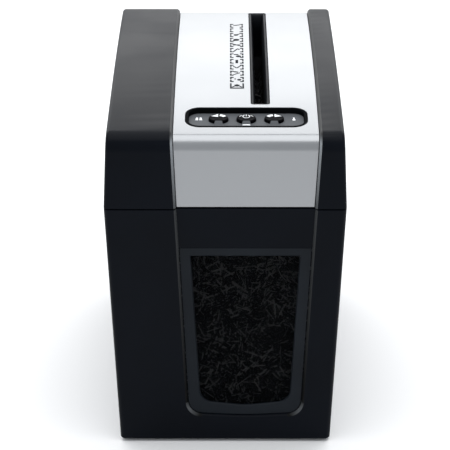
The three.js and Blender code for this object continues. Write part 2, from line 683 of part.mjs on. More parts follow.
function buildGears() {
  const [leftAxis, rightAxis] = CUTTER_AXES;
  const rightPhase = meshPhase(SYNC_WHEEL, leftAxis, 0, SYNC_WHEEL, rightAxis);
  const shaftBore = SHAFT_RADIUS + GAP;
  piece('sync_gear_left', bored(
    gear(SYNC_WHEEL, leftAxis, SYNC_LAYER, 0), shaftBore, leftAxis), STEEL);
  piece('sync_gear_right', bored(
    gear(SYNC_WHEEL, rightAxis, SYNC_LAYER, rightPhase), shaftBore, rightAxis), STEEL);
  piece('drive_gear', bored(
    gear(DRIVE_WHEEL, leftAxis, DRIVE_LAYER, 0), shaftBore, leftAxis), STEEL);
  const secondPinionPhase = meshPhase(DRIVE_WHEEL, leftAxis, 0, SECOND_PINION, SECOND_AXIS);
  const second = join(
    gear(SECOND_WHEEL, SECOND_AXIS, MIDDLE_LAYER, 0),
    gear(SECOND_PINION, SECOND_AXIS, [DRIVE_LAYER[0], MIDDLE_LAYER[0] + 1], secondPinionPhase));
  piece('reduction_gear_second', bored(second, PIN_RADIUS + GAP, SECOND_AXIS), NYLON);
  const firstPinionPhase = meshPhase(SECOND_WHEEL, SECOND_AXIS, 0, FIRST_PINION, FIRST_AXIS);
  const first = join(
    gear(FIRST_WHEEL, FIRST_AXIS, SYNC_LAYER, 0),
    gear(FIRST_PINION, FIRST_AXIS, [MIDDLE_LAYER[0], SYNC_LAYER[0] + 1], firstPinionPhase));
  piece('reduction_gear_first', bored(first, PIN_RADIUS + GAP, FIRST_AXIS), NYLON);
  const motorPhase = meshPhase(FIRST_WHEEL, FIRST_AXIS, 0, MOTOR_PINION, MOTOR_AXIS);
  piece('motor_pinion', bored(
    gear(MOTOR_PINION, MOTOR_AXIS, SYNC_LAYER, motorPhase), MOTOR_SHAFT_RADIUS + GAP, MOTOR_AXIS), BRONZE);
}

/** Holes along Y, from [radius, axis] pairs. */
const boreTools = (pairs) => pairs.map(([radius, axis]) => rodY(radius, [-200, 200], axis, SHAFT_SIDES));

function buildFrame() {
  const rods = Object.values(TIE_RODS).map((axis) => [TIE_ROD_RADIUS + GAP, axis]);
  const bushes = CUTTER_AXES.map((axis) => [BUSH_RADIUS + GAP, axis]);
  const pins = [FIRST_AXIS, SECOND_AXIS].map((axis) => [PIN_RADIUS + GAP, axis]);
  const plate = (x, z, span, bores) => cut(extrudeY(rectangle(x, z, 3, 2), span), ...boreTools(bores));
  const motorBore = [5, MOTOR_AXIS];
  piece('frame_plate_front', plate(
    [-79, 70], [PLATE_BOTTOM_Z, 244], FRONT_PLATE_Y, [...rods, ...bushes, ...pins, motorBore]), STEEL);
  piece('frame_plate_back', plate(
    [-16, 70], [PLATE_BOTTOM_Z, 226], BACK_PLATE_Y, [...rods, ...bushes]), STEEL);
  piece('gear_plate', plate(
    [-46, 22], [192, 234], GEAR_PLATE_Y, [...pins, [SHAFT_RADIUS + 0.5, CUTTER_AXES[0]]]), STEEL);
  for (const [name, axis] of Object.entries(TIE_RODS)) {
    piece(`tie_rod_${name}`, rodY(TIE_ROD_RADIUS, TIE_ROD_Y, axis, 10), STEEL);
  }
  piece('gear_pin_first', rodY(PIN_RADIUS, GEAR_PIN_Y, FIRST_AXIS, 10), STEEL);
  piece('gear_pin_second', rodY(PIN_RADIUS, GEAR_PIN_Y, SECOND_AXIS, 10), STEEL);
  for (const [side, axis] of [['left', CUTTER_AXES[0]], ['right', CUTTER_AXES[1]]]) {
    for (const [end, span] of Object.entries(BUSH_Y)) {
      const ring = ringPairs(BUSH_BORE, BUSH_RADIUS, span);
      piece(`bush_${end}_${side}`, turnedY(ring, axis, SHAFT_SIDES), BRONZE);
    }
  }
}

function powerBoard() {
  const [low, high] = POWER_BOARD_Z;
  return join(
    box([-76, -20], [24, 112], POWER_BOARD_Z),
    box([-70, -42], [34, 62], [low + 1, 204]),
    box([-36, -24], [36, 54], [low + 1, 196]),
    box([-72, -56], [92, 108], [high - 0.5, 192]),
    rodZ(7, [low + 1, 202], [-32, 74], 12),
    rodZ(5, [low + 1, 198], [-54, 78], 12));
}

/** The feeler that paper pushes down, on a pin beside the throat. */
function sensorFlag() {
  const [x, z] = FLAG_PIVOT;
  const arm = outline([
    [x - 3, z - 3, 2.5], [x + 3, z - 3, 1], [x + 18, z - 4.5, 0.8],
    [x + 18, z - 2.4, 0.8], [x + 3, z + 3, 2.5],
    [x - 3, z + 3, 2.5]], 2);
  return cut(extrudeY(arm, FLAG_Y), rodY(1.3, [-10, 10], FLAG_PIVOT, 8));
}

function motorCan() {
  const [front, back] = [MOTOR_Y[0] + MOTOR_CAP + GAP, MOTOR_Y[1]];
  const inner = MOTOR_RADIUS - MOTOR_WALL;
  return turnedY([
    [inner, front], [MOTOR_RADIUS, front], [MOTOR_RADIUS, back], [0, back], [0, back - MOTOR_WALL],
    [inner, back - MOTOR_WALL], [inner, front]], MOTOR_AXIS, 18);
}

function motorRotor() {
  const [shaft, armature] = [MOTOR_SHAFT_RADIUS, ARMATURE_RADIUS];
  return turnedY([
    [0, MOTOR_SHAFT_Y[0]], [shaft, MOTOR_SHAFT_Y[0]], [shaft, ARMATURE_Y[0]], [armature, ARMATURE_Y[0]],
    [armature, ARMATURE_Y[1]], [shaft, ARMATURE_Y[1]], [shaft, MOTOR_SHAFT_Y[1]], [0, MOTOR_SHAFT_Y[1]]],
  MOTOR_AXIS, 12);
}

/** Switch that the bin's tab closes through its plunger. */
function safetySwitch() {
  return cut(
    box(around(SAFETY_X, 5.6), around(SAFETY_Y, 18), [FLANGE_Z[1] + GAP, 225]),
    rodZ(1.9, [200, 216], [SAFETY_X, SAFETY_Y], 8));
}

function buildMechanism() {
  piece('head_base', headBase(), BLACK_PLASTIC);
  const [leftAxis, rightAxis] = CUTTER_AXES;
  piece('cutter_left', cutter(leftAxis, 0, DISC_COUNT, [SHAFT_FRONT_Y.left, SHAFT_BACK_Y]), DARK_STEEL);
  piece('cutter_right', cutter(
    rightAxis, DISC_PITCH / 2, DISC_COUNT - 1, [SHAFT_FRONT_Y.right, SHAFT_BACK_Y]), DARK_STEEL);
  const reach = SPACER_RADIUS + COMB_CLEARANCE;
  piece('stripper_left', stripperComb(
    [-12, -6.5], CUTTER_X[0] - reach, 0, DISC_COUNT - 1), NYLON);
  piece('stripper_right', stripperComb(
    [67, 61.5], CUTTER_X[1] + reach, DISC_PITCH / 2, DISC_COUNT - 2), NYLON);
  piece('motor_can', motorCan(), STEEL);
  piece('motor_end_cap', turnedY(
    ringPairs(3.2, MOTOR_RADIUS, [MOTOR_Y[0], MOTOR_Y[0] + MOTOR_CAP]), MOTOR_AXIS, 18), BLACK_PLASTIC);
  piece('motor_rotor', motorRotor(), DARK_STEEL);
  piece('power_board', powerBoard(), BOARD_GREEN);
  piece('sensor_flag', sensorFlag(), NYLON);
  piece('sensor_switch', join(
    box([5, 17], [-5, 1], [237, 258]), rodY(1, [0, 5], FLAG_PIVOT, 8)), BLACK_PLASTIC);
  piece('safety_switch', safetySwitch(), BLACK_PLASTIC);
  piece('safety_plunger', rodZ(
    1.5, [SAFETY_TAB_Z + GAP, SAFETY_PLUNGER_TOP_Z], [SAFETY_X, SAFETY_Y], 10), NYLON);
  forEachCorner(SCREW_X, SCREW_Y, (corner, at) => {
    piece(`screw_${corner}`, screw(at), STEEL);
  });
}

buildBin();
buildControls();
buildFrame();
buildGears();
buildMechanism();

export default model;
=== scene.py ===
import math
import random

import bmesh
import bpy
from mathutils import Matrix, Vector


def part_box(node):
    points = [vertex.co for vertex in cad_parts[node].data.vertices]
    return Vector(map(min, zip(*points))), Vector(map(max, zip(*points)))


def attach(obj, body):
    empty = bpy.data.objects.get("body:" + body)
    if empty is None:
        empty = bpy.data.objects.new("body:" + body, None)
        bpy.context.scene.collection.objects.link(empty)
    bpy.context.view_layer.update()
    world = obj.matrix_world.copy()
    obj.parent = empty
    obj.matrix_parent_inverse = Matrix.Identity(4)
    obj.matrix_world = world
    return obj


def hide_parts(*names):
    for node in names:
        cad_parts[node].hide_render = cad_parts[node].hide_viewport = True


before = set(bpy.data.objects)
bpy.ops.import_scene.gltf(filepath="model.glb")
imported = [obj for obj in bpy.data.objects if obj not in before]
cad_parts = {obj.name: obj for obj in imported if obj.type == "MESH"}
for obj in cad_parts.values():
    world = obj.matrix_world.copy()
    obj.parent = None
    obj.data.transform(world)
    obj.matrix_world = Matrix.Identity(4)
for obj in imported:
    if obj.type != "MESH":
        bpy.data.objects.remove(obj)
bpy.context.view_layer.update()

# Slimline paper shredder. Sizes below are in millimetres, in the CAD frame: +X right, +Y back, +Z up.
MM = 0.001


def node_box(node):
    """A CAD node's lowest and highest corner in millimetres."""
    lo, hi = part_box(node)
    return lo / MM, hi / MM


def plan(node):
    """The middle of a CAD node seen from above, and half its width."""
    lo, hi = node_box(node)
    return (lo.x + hi.x) / 2, (lo.y + hi.y) / 2, (hi.x - lo.x) / 2


# ---- Sizes taken from the frame ----

HEAD_LO, HEAD_HI = node_box("head_cover")
BIN_LO, BIN_HI = node_box("bin_body")
PANEL_LO, PANEL_HI = node_box("top_panel")
TRAY_LO, TRAY_HI = node_box("control_tray")
THROAT_LO, THROAT_HI = node_box("slot_throat")
GLAND_LO, GLAND_HI = node_box("cord_gland")

SEAM_GAP = 0.9
HEAD_Z = HEAD_LO.z
SEAM_Z = HEAD_Z - SEAM_GAP
CROWN_Z = HEAD_HI.z
CROWN_RADIUS = 1600
SEAM_HALF_WIDTH = BIN_HI.x
SEAM_HALF_DEPTH = BIN_HI.y
HEAD_TOP_HALF_WIDTH = SEAM_HALF_WIDTH - 2.95
HEAD_TOP_HALF_DEPTH = SEAM_HALF_DEPTH - 2
BIN_FOOT_HALF_WIDTH = SEAM_HALF_WIDTH - 8.45
BIN_FOOT_HALF_DEPTH = SEAM_HALF_DEPTH - 6.5
FRONT_RADIUS = 14
BACK_RADIUS = 4.5
SIDE_ROUND = 3
COVER_WALL = 2.4
GAP = 0.3

PANEL_EDGE_LEFT = (PANEL_LO.x + 2.8, PANEL_LO.x)          # at the seam, and at the crown
PANEL_EDGE_RIGHT = (PANEL_HI.x - 3.2, PANEL_HI.x)
PANEL_DROP = 3
PANEL_WALL = 2
PANEL_BACK_Z = 250

SLOT_X = (THROAT_LO.x + THROAT_HI.x) / 2
SLOT_HALF_WIDTH = (THROAT_HI.x - THROAT_LO.x) / 2 + GAP
SLOT_Y = (THROAT_LO.y - GAP, THROAT_HI.y + GAP)
NIP_HALF_WIDTH = 3.6
TRAY_CORNER = 11.5
TRAY_FLOOR_Z = 263.4
GLAND_AXIS = ((GLAND_LO.x + GLAND_HI.x) / 2, (GLAND_LO.z + GLAND_HI.z) / 2)
GLAND_RADIUS = (GLAND_HI.x - GLAND_LO.x) / 2
THROUGH_TOP = (240, 290)          # heights of a tool that cuts through the head's top
THROUGH_BACK = (130, 160)         # places along Y of a tool that cuts through its back
SCREWS = ("screw_front_left", "screw_front_right", "screw_back_left", "screw_back_right")

# ---- Scene: camera, light, floor ----


def add_object(name, data):
    obj = bpy.data.objects.new(name, data)
    bpy.context.scene.collection.objects.link(obj)
    return obj


def look_from(location, tilt, turn, lens):
    data = bpy.data.cameras.new("camera")
    data.lens = lens
    data.sensor_width = 36
    data.clip_end = 50
    camera = add_object("camera", data)
    camera.location = location
    camera.rotation_euler = (math.radians(tilt), 0, math.radians(turn))
    bpy.context.scene.camera = camera


def area_light(name, location, target, size, power):
    data = bpy.data.lights.new(name, "AREA")
    data.shape = "RECTANGLE"
    data.size, data.size_y = size
    data.energy = power
    light = add_object(name, data)
    light.location = location
    direction = Vector(target) - Vector(location)
    light.rotation_euler = direction.to_track_quat("-Z", "Y").to_euler()


def build_stage():
    look_from((0.0025, -1.5487, 0.8667), 64.434, 0.109, 164)
    world = bpy.data.worlds.new("studio")
    world.use_nodes = True
    background = world.node_tree.nodes["Background"]
    background.inputs["Color"].default_value = (0.93, 0.96, 1.0, 1)
    background.inputs["Strength"].default_value = 0.76
    bpy.context.scene.world = world
    bpy.context.scene.view_settings.view_transform = "Standard"
    area_light("top_softbox", (0, 0.2, 2.4), (0, 0, 0), (3.4, 2.6), 54)
    area_light("back_softbox", (0, 3.0, 1.55), (0, 0, 0.25), (5.0, 1.7), 61)
    mesh = bpy.data.meshes.new("floor")
    mesh.from_pydata([(x, y, 0) for x, y, _ in rectangle(-8, 8, -8, 8)], [], [(0, 1, 2, 3)])
    material, _, base = shader("floor")
    base.inputs["Base Color"].default_value = grey(0.93)
    base.inputs["Roughness"].default_value = 0.9
    mesh.materials.append(material)
    floor = add_object("floor", mesh)


# ---- Materials ----


def shader(name):
    material = bpy.data.materials.new(name)
    material.use_nodes = True
    return material, material.node_tree, material.node_tree.nodes["Principled BSDF"]


def ramp(tree, source, low, high):
    """A colour or value that follows a noise between two ends."""
    node = tree.nodes.new("ShaderNodeValToRGB")
    start, end = node.color_ramp.elements
    start.position, start.color = 0.35, low
    end.position, end.color = 0.65, high
    tree.links.new(source, node.inputs["Fac"])
    return node.outputs["Color"]


def noise(tree, coordinates, scale, detail, stretch=(1, 1, 1)):
    mapping = tree.nodes.new("ShaderNodeMapping")
    mapping.inputs["Scale"].default_value = stretch
    tree.links.new(coordinates, mapping.inputs["Vector"])
    texture = tree.nodes.new("ShaderNodeTexNoise")
    texture.inputs["Scale"].default_value = scale
    texture.inputs["Detail"].default_value = detail
    tree.links.new(mapping.outputs["Vector"], texture.inputs["Vector"])
    return texture.outputs["Fac"]


def grey(value):
    return (value, value, value, 1)


def moulded(name, color, roughness, texture=1500, bump=0.06, specular=0.5, spread=0.12,
            metallic=0.0, coat=0.0, stretch=(1, 1, 1)):
    """Moulded or painted surface: fine grain in the bump, slow changes in colour and roughness."""
    material, tree, base = shader(name)
    link = tree.links.new
    where = tree.nodes.new("ShaderNodeTexCoord").outputs["Object"]
    slow = noise(tree, where, 18, 3)
    fine = noise(tree, where, texture, 2, stretch)
    dark = tuple(c * (1 - spread) for c in color)
    light = tuple(c * (1 + spread) for c in color)
    tint = ramp(tree, slow, (*dark, 1), (*light, 1))
    link(tint, base.inputs["Base Color"])
    shine = ramp(tree, slow, grey(roughness * 0.92), grey(roughness * 1.08))
    link(shine, base.inputs["Roughness"])
    relief = tree.nodes.new("ShaderNodeBump")
    relief.inputs["Strength"].default_value = bump
    relief.inputs["Distance"].default_value = 0.0002
    link(fine, relief.inputs["Height"])
    link(relief.outputs["Normal"], base.inputs["Normal"])
    base.inputs["Specular IOR Level"].default_value = specular
    base.inputs["Metallic"].default_value = metallic
    base.inputs["Coat Weight"].default_value = coat
    base.inputs["Coat Roughness"].default_value = 0.08
    return material


def height_of(tree, split):
    return split.outputs["Z"]


def worked_out(tree, kind, operation, source, other=None):
    """The result of a maths node on a socket and, if one is given, a constant."""
    node = tree.nodes.new(kind)
    node.operation = operation
    tree.links.new(source, node.inputs[0])
    if other is not None:
        node.inputs[1].default_value = other
    return node.outputs["Value"]


def from_glint(tree, split):
    """Distance from the brightest place of the painted highlight on the nearer lower corner of the bin's
    recess.
    """
    link = tree.links.new
    across = worked_out(tree, "ShaderNodeMath", "SUBTRACT", split.outputs["X"], GLINT_MIDDLE * MM)
    point = tree.nodes.new("ShaderNodeCombineXYZ")
    link(worked_out(tree, "ShaderNodeMath", "ABSOLUTE", across), point.inputs["X"])
    link(split.outputs["Z"], point.inputs["Z"])
    brightest = (GLINT_ACROSS * MM, 0, GLINT_Z * MM)
    return worked_out(tree, "ShaderNodeVectorMath", "DISTANCE", point.outputs["Vector"], brightest)


def painted_light_ramp(name, stops, specular, measure=height_of):
    """Moulded surface with painted light: its brightness follows a measure, given as stops of (millimetres,
    brightness).
    """
    material, tree, base = shader(name)
    link = tree.links.new
    where = tree.nodes.new("ShaderNodeTexCoord").outputs["Object"]
    split = tree.nodes.new("ShaderNodeSeparateXYZ")
    link(where, split.inputs["Vector"])
    first, last = stops[0][0], stops[-1][0]
    along = tree.nodes.new("ShaderNodeMapRange")
    along.inputs["From Min"].default_value = first * MM
    along.inputs["From Max"].default_value = last * MM
    link(measure(tree, split), along.inputs["Value"])
    scale = tree.nodes.new("ShaderNodeValToRGB")
    for _ in stops[2:]:
        scale.color_ramp.elements.new(0.5)
    for element, (at, brightness) in zip(scale.color_ramp.elements, stops):
        element.position = (at - first) / (last - first)
        element.color = (brightness * 0.94, brightness, brightness * 1.05, 1)
    link(along.outputs["Result"], scale.inputs["Fac"])
    link(scale.outputs["Color"], base.inputs["Base Color"])
    link(ramp(tree, noise(tree, where, 18, 3), grey(0.38), grey(0.44)), base.inputs["Roughness"])
    base.inputs["Specular IOR Level"].default_value = specular
    return material


def smoked_glass(name):
    material, tree, base = shader(name)
    where = tree.nodes.new("ShaderNodeTexCoord").outputs["Object"]
    haze = noise(tree, where, 60, 3)
    tree.links.new(ramp(tree, haze, grey(0.04), grey(0.09)), base.inputs["Roughness"])
    tint = ramp(tree, haze, (0.0012, 0.0016, 0.0022, 1), (0.0018, 0.0022, 0.003, 1))
    tree.links.new(tint, base.inputs["Base Color"])
    base.inputs["Alpha"].default_value = 0.6
    base.inputs["Specular IOR Level"].default_value = 0.02
    return material


def make_materials():
    return {
        "shell": moulded("black_shell", (0.0022, 0.0033, 0.0058), 0.36,
                         texture=1400, bump=0.08, specular=0.06),
        # The channel's lips: painted highlight, brightest a little below the crown and dark at it.
        "channel": painted_light_ramp("channel_lip_painted_highlight", ((208, 0.07), (261, 0.26), (266, 0.012)), 0.2),
        # The recess lip's sides: painted highlight, lighter at the top and fading downwards.
        "lip": painted_light_ramp("recess_lip_painted_highlight", ((50, 0.0035), (210, 0.038)), 0.08),
        # The recess's lower corners: painted glint, brightest at a point and fading out over 9 mm.
        "glint": painted_light_ramp("recess_corner_painted_glint", ((0, 0.11), (3.5, 0.07), (9, 0.0035)), 0.08, from_glint),
        "slate": moulded("slate_plastic", (0.009, 0.0115, 0.0150), 0.34,
                         texture=1800, bump=0.04, specular=0.08),
        "window": smoked_glass("smoked_window"),
        "paper": moulded("shredded_paper", (0.74, 0.75, 0.74), 0.85,
                         texture=500, bump=0.15, specular=0.2, spread=0.1),
        # Strips in painted shade: the same paper, darkened to stand for shade inside the heap.
        "shade": moulded("shaded_paper", (0.05, 0.052, 0.055), 0.85,
                         texture=500, bump=0.15, specular=0.1, spread=0.3),
        # Heap core: painted shade, near-black to stand for the shade deep between the strips.
        "core": moulded("paper_core_painted_shade", (0.006, 0.0065, 0.007), 0.9,
                        texture=500, bump=0.15, specular=0.1, spread=0.3),
        "rubber": moulded("rubber", (0.008, 0.008, 0.009), 0.85, texture=700, bump=0.3, specular=0.2),
        "silver": moulded("silver_panel", (0.31, 0.318, 0.328), 0.3,
                          texture=2600, bump=0.05, metallic=0.85, spread=0.015),
        "plastic": moulded("black_plastic", (0.012, 0.0135, 0.0155), 0.5,
                           texture=1100, bump=0.12, specular=0.3),
        "throat": moulded("throat_plastic", (0.007, 0.0085, 0.0105), 0.42,
                          texture=1600, bump=0.05, specular=0.055),
        "tray": moulded("tray_grey", (0.078, 0.083, 0.09), 0.6,
                        bump=0.14, specular=0.12, spread=0.06),
        "rim": moulded("tray_rim", (0.003, 0.0035, 0.004), 0.5, bump=0.02, specular=0.006),
        "gloss": moulded("gloss_black", (0.003, 0.003, 0.004), 0.3, bump=0.01, specular=0.004),
        "white": moulded("white_print", (0.82, 0.84, 0.86), 0.5, bump=0.03, spread=0.03),
        "lens": moulded("white_lens", (0.9, 0.92, 0.94), 0.22, texture=900, bump=0.02, spread=0.03, coat=0.4),
        "ink": moulded("dark_print", (0.014, 0.015, 0.018), 0.7,
                       bump=0.03, specular=0.03, spread=0.1),
        "board": moulded("circuit_board", (0.012, 0.10, 0.042), 0.32,
                         texture=300, bump=0.12, spread=0.25, coat=0.3),
        "steel": moulded("frame_steel", (0.46, 0.47, 0.49), 0.34,
                         texture=500, bump=0.08, metallic=1.0, stretch=(1, 14, 1)),
        "cutter": moulded("cutter_steel", (0.2, 0.205, 0.215), 0.36,
                          texture=420, bump=0.12, metallic=1.0, stretch=(1, 18, 1)),
        "bronze": moulded("bronze", (0.45, 0.29, 0.13), 0.42, texture=700, bump=0.2, metallic=1.0),
        "nylon": moulded("nylon", (0.72, 0.68, 0.58), 0.45,
                         texture=400, bump=0.08, specular=0.4, spread=0.05),
    }


# ---- Outline and mesh helpers ----


def fillet(corners, steps=8):
    """Points of a closed outline whose corners (x, y, radius) are rounded."""
    points = []
    for i, (x, y, radius) in enumerate(corners):
        here = Vector((x, y))
        if radius <= 0:
            points.append(here)
            continue
        before = (Vector(corners[i - 1][:2]) - here).normalized()
        after = (Vector(corners[(i + 1) % len(corners)][:2]) - here).normalized()
        half = math.acos(max(-1.0, min(1.0, before.dot(after)))) / 2
        centre = here + (before + after).normalized() * (radius / math.sin(half))
        start = here + before * (radius / math.tan(half)) - centre
        end = here + after * (radius / math.tan(half)) - centre
        turn = math.atan2(start.x * end.y - start.y * end.x, start.dot(end))
        for k in range(steps + 1):
            angle = turn * k / steps
            c, s = math.cos(angle), math.sin(angle)
            points.append(centre + Vector((c * start.x - s * start.y, s * start.x + c * start.y)))
    return points


def grown(corners, margin):
    """The corners of a convex anticlockwise outline, each side moved out by a margin."""
    sides = []
    for i, corner in enumerate(corners):
        a, b = Vector(corner[:2]), Vector(corners[(i + 1) % len(corners)][:2])
        along = (b - a).normalized()
        sides.append((a + Vector((along.y, -along.x)) * margin, along))
    moved = []
    for i, (x, y, radius) in enumerate(corners):
        (p, u), (q, v) = sides[i - 1], sides[i]
        reach = ((q - p).x * v.y - (q - p).y * v.x) / (u.x * v.y - u.y * v.x)
        point = p + u * reach
        moved.append((point.x, point.y, max(radius + margin, 0.2) if radius else 0))
    return moved


def rectangle(x0, x1, y0, y1, radius=0.0):
    return [(x0, y0, radius), (x1, y0, radius), (x1, y1, radius), (x0, y1, radius)]


def placed(outline, x, y):
    return [(x + a, y + b) for a, b in outline]


def arc(centre, radius, angles):
    return [(centre[0] + radius * math.cos(a), centre[1] + radius * math.sin(a)) for a in angles]


def new_object(name, points, faces, numbers=None):
    """A mesh from points in millimetres, with the number of each face's material if it isn't the first."""
    mesh = bpy.data.meshes.new(name)
    mesh.from_pydata([Vector(p) * MM for p in points], [], faces)
    for index, number in (numbers or {}).items():
        mesh.polygons[index].material_index = number
    made = bmesh.new()
    made.from_mesh(mesh)
    bmesh.ops.remove_doubles(made, verts=made.verts, dist=1e-7)
    bmesh.ops.recalc_face_normals(made, faces=made.faces)
    made.to_mesh(mesh)
    made.free()
    return add_object(name, mesh)


def loft(name, rings, caps=True, number=None):
    """A closed solid through rings of points, which all have the same count.

    number(ring, side) tells the number of each face's material.
    """
    count = len(rings[0])
    points = [p for ring in rings for p in ring]
    faces = []
    for i in range(len(rings) - 1):
        for j in range(count):
            a, b = i * count + j, i * count + (j + 1) % count
            faces.append((a, b, b + count, a + count))
    if caps:
        faces.append(tuple(range(count))[::-1])
        faces.append(tuple(range(len(points) - count, len(points))))
    else:
        last = len(points) - count
        for j in range(count):
            k = (j + 1) % count
            faces.append((last + j, last + k, k, j))
    numbers = {}
    if number:
        numbers = {n: number(n // count, n % count) for n in range((len(rings) - 1) * count)}
    return new_object(name, points, faces, numbers)


def prism(name, outline, low, high, place=None):
    """An outline extruded along Z, or from depth low to depth high as place(x, y, depth) says."""
    place = place or (lambda x, y, depth: (x, y, depth))
    return loft(name, [[place(p[0], p[1], depth) for p in outline] for depth in (low, high)])


def along_y(x, z, depth):
    return (x, depth, z)


def block(name, x, y, z):
    return prism(name, fillet(rectangle(*x, *y)), *z)


def turned(name, profile, axis, segments=64, along="z"):
    """A turned solid from (radius, height) pairs that start and end on the axis, or close on themselves."""
    angles = [2 * math.pi * k / segments for k in range(segments)]
    rings = []
    for radius, height in profile:
        circle = arc(axis, radius, angles)
        rings.append([(a, b, height) if along == "z" else (a, height, b) for a, b in circle])
    return loft(name, rings, caps=profile[0][0] == 0)


def rod(name, axis, radius, low, high, segments=64, along="z"):
    return turned(name, [(0, low), (radius, low), (radius, high), (0, high)], axis, segments, along)


def apply_modifiers(obj):
    graph = bpy.context.evaluated_depsgraph_get()
    mesh = bpy.data.meshes.new_from_object(obj.evaluated_get(graph))
    obj.modifiers.clear()
    obj.data = mesh


def combine(obj, operation, tools):
    for tool in tools:
        modifier = obj.modifiers.new("boolean", "BOOLEAN")
        modifier.operation = operation
        modifier.solver = "EXACT"
        modifier.object = tool
        apply_modifiers(obj)
        bpy.data.objects.remove(tool)


def cut(obj, *tools):
    combine(obj, "DIFFERENCE", tools)


def join(obj, *tools):
    combine(obj, "UNION", tools)


def soften(obj, width, segments=2, angle=35):
    """Small rounded edges, as moulded parts have."""
    bevel = obj.modifiers.new("bevel", "BEVEL")
    bevel.width = width * MM
    bevel.segments = segments
    bevel.limit_method = "ANGLE"
    bevel.angle_limit = math.radians(angle)
    bevel.miter_outer = "MITER_ARC"
    bevel.use_clamp_overlap = True


def paint(obj, *materials):
    """Gives a mesh its materials and keeps which face has which of them."""
    numbers = [polygon.material_index for polygon in obj.data.polygons]
    obj.data.materials.clear()
    for material in materials:
        obj.data.materials.append(material)
    for polygon, number in zip(obj.data.polygons, numbers):
        polygon.material_index = min(number, len(materials) - 1)


def dress(obj, body, material, *nodes, slot, smooth=40, more=()):
    """Finishes a piece: shading, materials, its body and the CAD nodes that it stands for. Its slot argument
    is not used.
    """
    apply_modifiers(obj)
    for polygon in obj.data.polygons:
        polygon.use_smooth = True
    obj.data.set_sharp_from_angle(angle=math.radians(smooth))
    paint(obj, material, *more)
    normals = obj.modifiers.new("weighted", "WEIGHTED_NORMAL")
    normals.keep_sharp = True
    normals.weight = 80
    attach(obj, body)
    if nodes:
        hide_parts(*nodes)


# ---- Head surfaces ----


def crown(y):
    return CROWN_Z - y * y / (2 * CROWN_RADIUS)


def lerp(a, b, t):
    return a + (b - a) * t


def up_head(z):
    """0 at the seam and 1 at the crown."""
    return (z - SEAM_Z) / (CROWN_Z - SEAM_Z)


def corner(inset, radius, side):
    """The rounding between a wall and the crown: the wall's foot and direction, a centre and two angles."""
    foot = Vector((side * (SEAM_HALF_DEPTH - inset), SEAM_Z))
    top_y = HEAD_TOP_HALF_DEPTH - inset
    up = (Vector((side * top_y, crown(top_y) - inset)) - foot).normalized()
    inward = Vector((-up.y, up.x)) * side
    hub = Vector((0, CROWN_Z - inset - CROWN_RADIUS))
    start = foot + inward * radius - hub
    half_b = start.dot(up)
    reach = -half_b + math.sqrt(half_b ** 2 - start.length_squared + (CROWN_RADIUS - radius) ** 2)
    centre = start + up * reach + hub
    out = -inward
    high = (centre - hub).normalized()
    return foot, up, centre, math.atan2(out.y, out.x), math.atan2(high.y, high.x)


def steps_between(start, end, steps):
    return [lerp(start, end, k / steps) for k in range(steps + 1)]


def wall_point(foot, up, z):
    return (foot.x + up.x * (z - foot.y) / up.y, z)


def head_path(inset, low_front, low_back):
    """Stations (y, z) up the head's front, over its crown and down its back, drawn in by an inset."""
    wall_steps, front_steps, crown_steps, back_steps = 5, 18, 44, 8
    foot, up, centre, wall_angle, crown_angle = corner(inset, max(FRONT_RADIUS - inset, 3), -1)
    if wall_angle < 0:
        wall_angle += 2 * math.pi
    front = arc(centre, max(FRONT_RADIUS - inset, 3), steps_between(wall_angle, crown_angle, front_steps))
    path = [wall_point(foot, up, lerp(low_front, front[0][1], k / wall_steps)) for k in range(wall_steps)]
    path += front
    foot, up, centre, wall_angle, crown_angle = corner(inset, max(BACK_RADIUS - inset, 1), 1)
    back = arc(centre, max(BACK_RADIUS - inset, 1), steps_between(crown_angle, wall_angle, back_steps))
    for k in range(1, crown_steps):
        y = lerp(front[-1][0], back[0][0], k / crown_steps)
        path.append((y, crown(y) - inset))
    path += back
    for k in range(1, wall_steps + 1):
        path.append(wall_point(foot, up, lerp(back[-1][1], low_back, k / wall_steps)))
    return path


def head_ring(across, inset, low_front, low_back):
    """A closed ring round the head at one place across it, given as x at the seam and x at the crown."""
    return [(lerp(*across, up_head(z)), y, z) for y, z in head_path(inset, low_front, low_back)]


def head_solid(name, inset, side, radius, low):
    """A solid with the head's outline, drawn in by an inset and at its sides, with rounded side edges."""
    wide = (SEAM_HALF_WIDTH - side, HEAD_TOP_HALF_WIDTH - side)
    steps = 6 if radius else 0
    angles = [math.pi / 2 * k / steps for k in range(steps + 1)] if steps else [math.pi / 2]
    left = []
    right = []
    for angle in angles:
        narrower = radius * (1 - math.cos(angle))
        lower = inset + radius * (1 - math.sin(angle))
        left.append(head_ring([narrower - w for w in wide], lower, low, low))
        right.append(head_ring([w - narrower for w in wide], lower, low, low))
    return loft(name, left + right[::-1])


def head_sweep(name, section, low_front, low_back, sides=()):
    """A section of ((x at seam, x at crown), inset) corners swept over the head from front to back.

    The section's sides numbered in sides take the second material.
    """
    rings = [head_ring(across, inset, low_front, low_back) for across, inset in section]
    stations = list(zip(*rings))
    return loft(name, [list(station) for station in stations], number=lambda ring, side: int(side in sides))


def shifted(edge, by):
    return (edge[0] + by, edge[1] + by)


def panel_surface(y):
    """Height of the silver panel's face on the crown."""
    return crown(y) - PANEL_DROP


def ring_on_panel(corners, depth, pieces=(2, 38)):
    """An outline on the silver panel, depth below its face, its sides cut in pieces along X and Y."""
    steps = 10
    flat = fillet(corners, steps)
    ring = []
    for i, point in enumerate(flat):
        after = flat[(i + 1) % len(flat)]
        side = after - point
        count = 1
        if i % (steps + 1) == steps:
            count = pieces[0] if abs(side.x) > abs(side.y) else pieces[1]
        for k in range(count):
            p = point.lerp(after, k / count)
            ring.append((p.x, p.y, panel_surface(p.y) - depth))
    return ring


def level(ring, z):
    return [(x, y, z) for x, y, _ in ring]


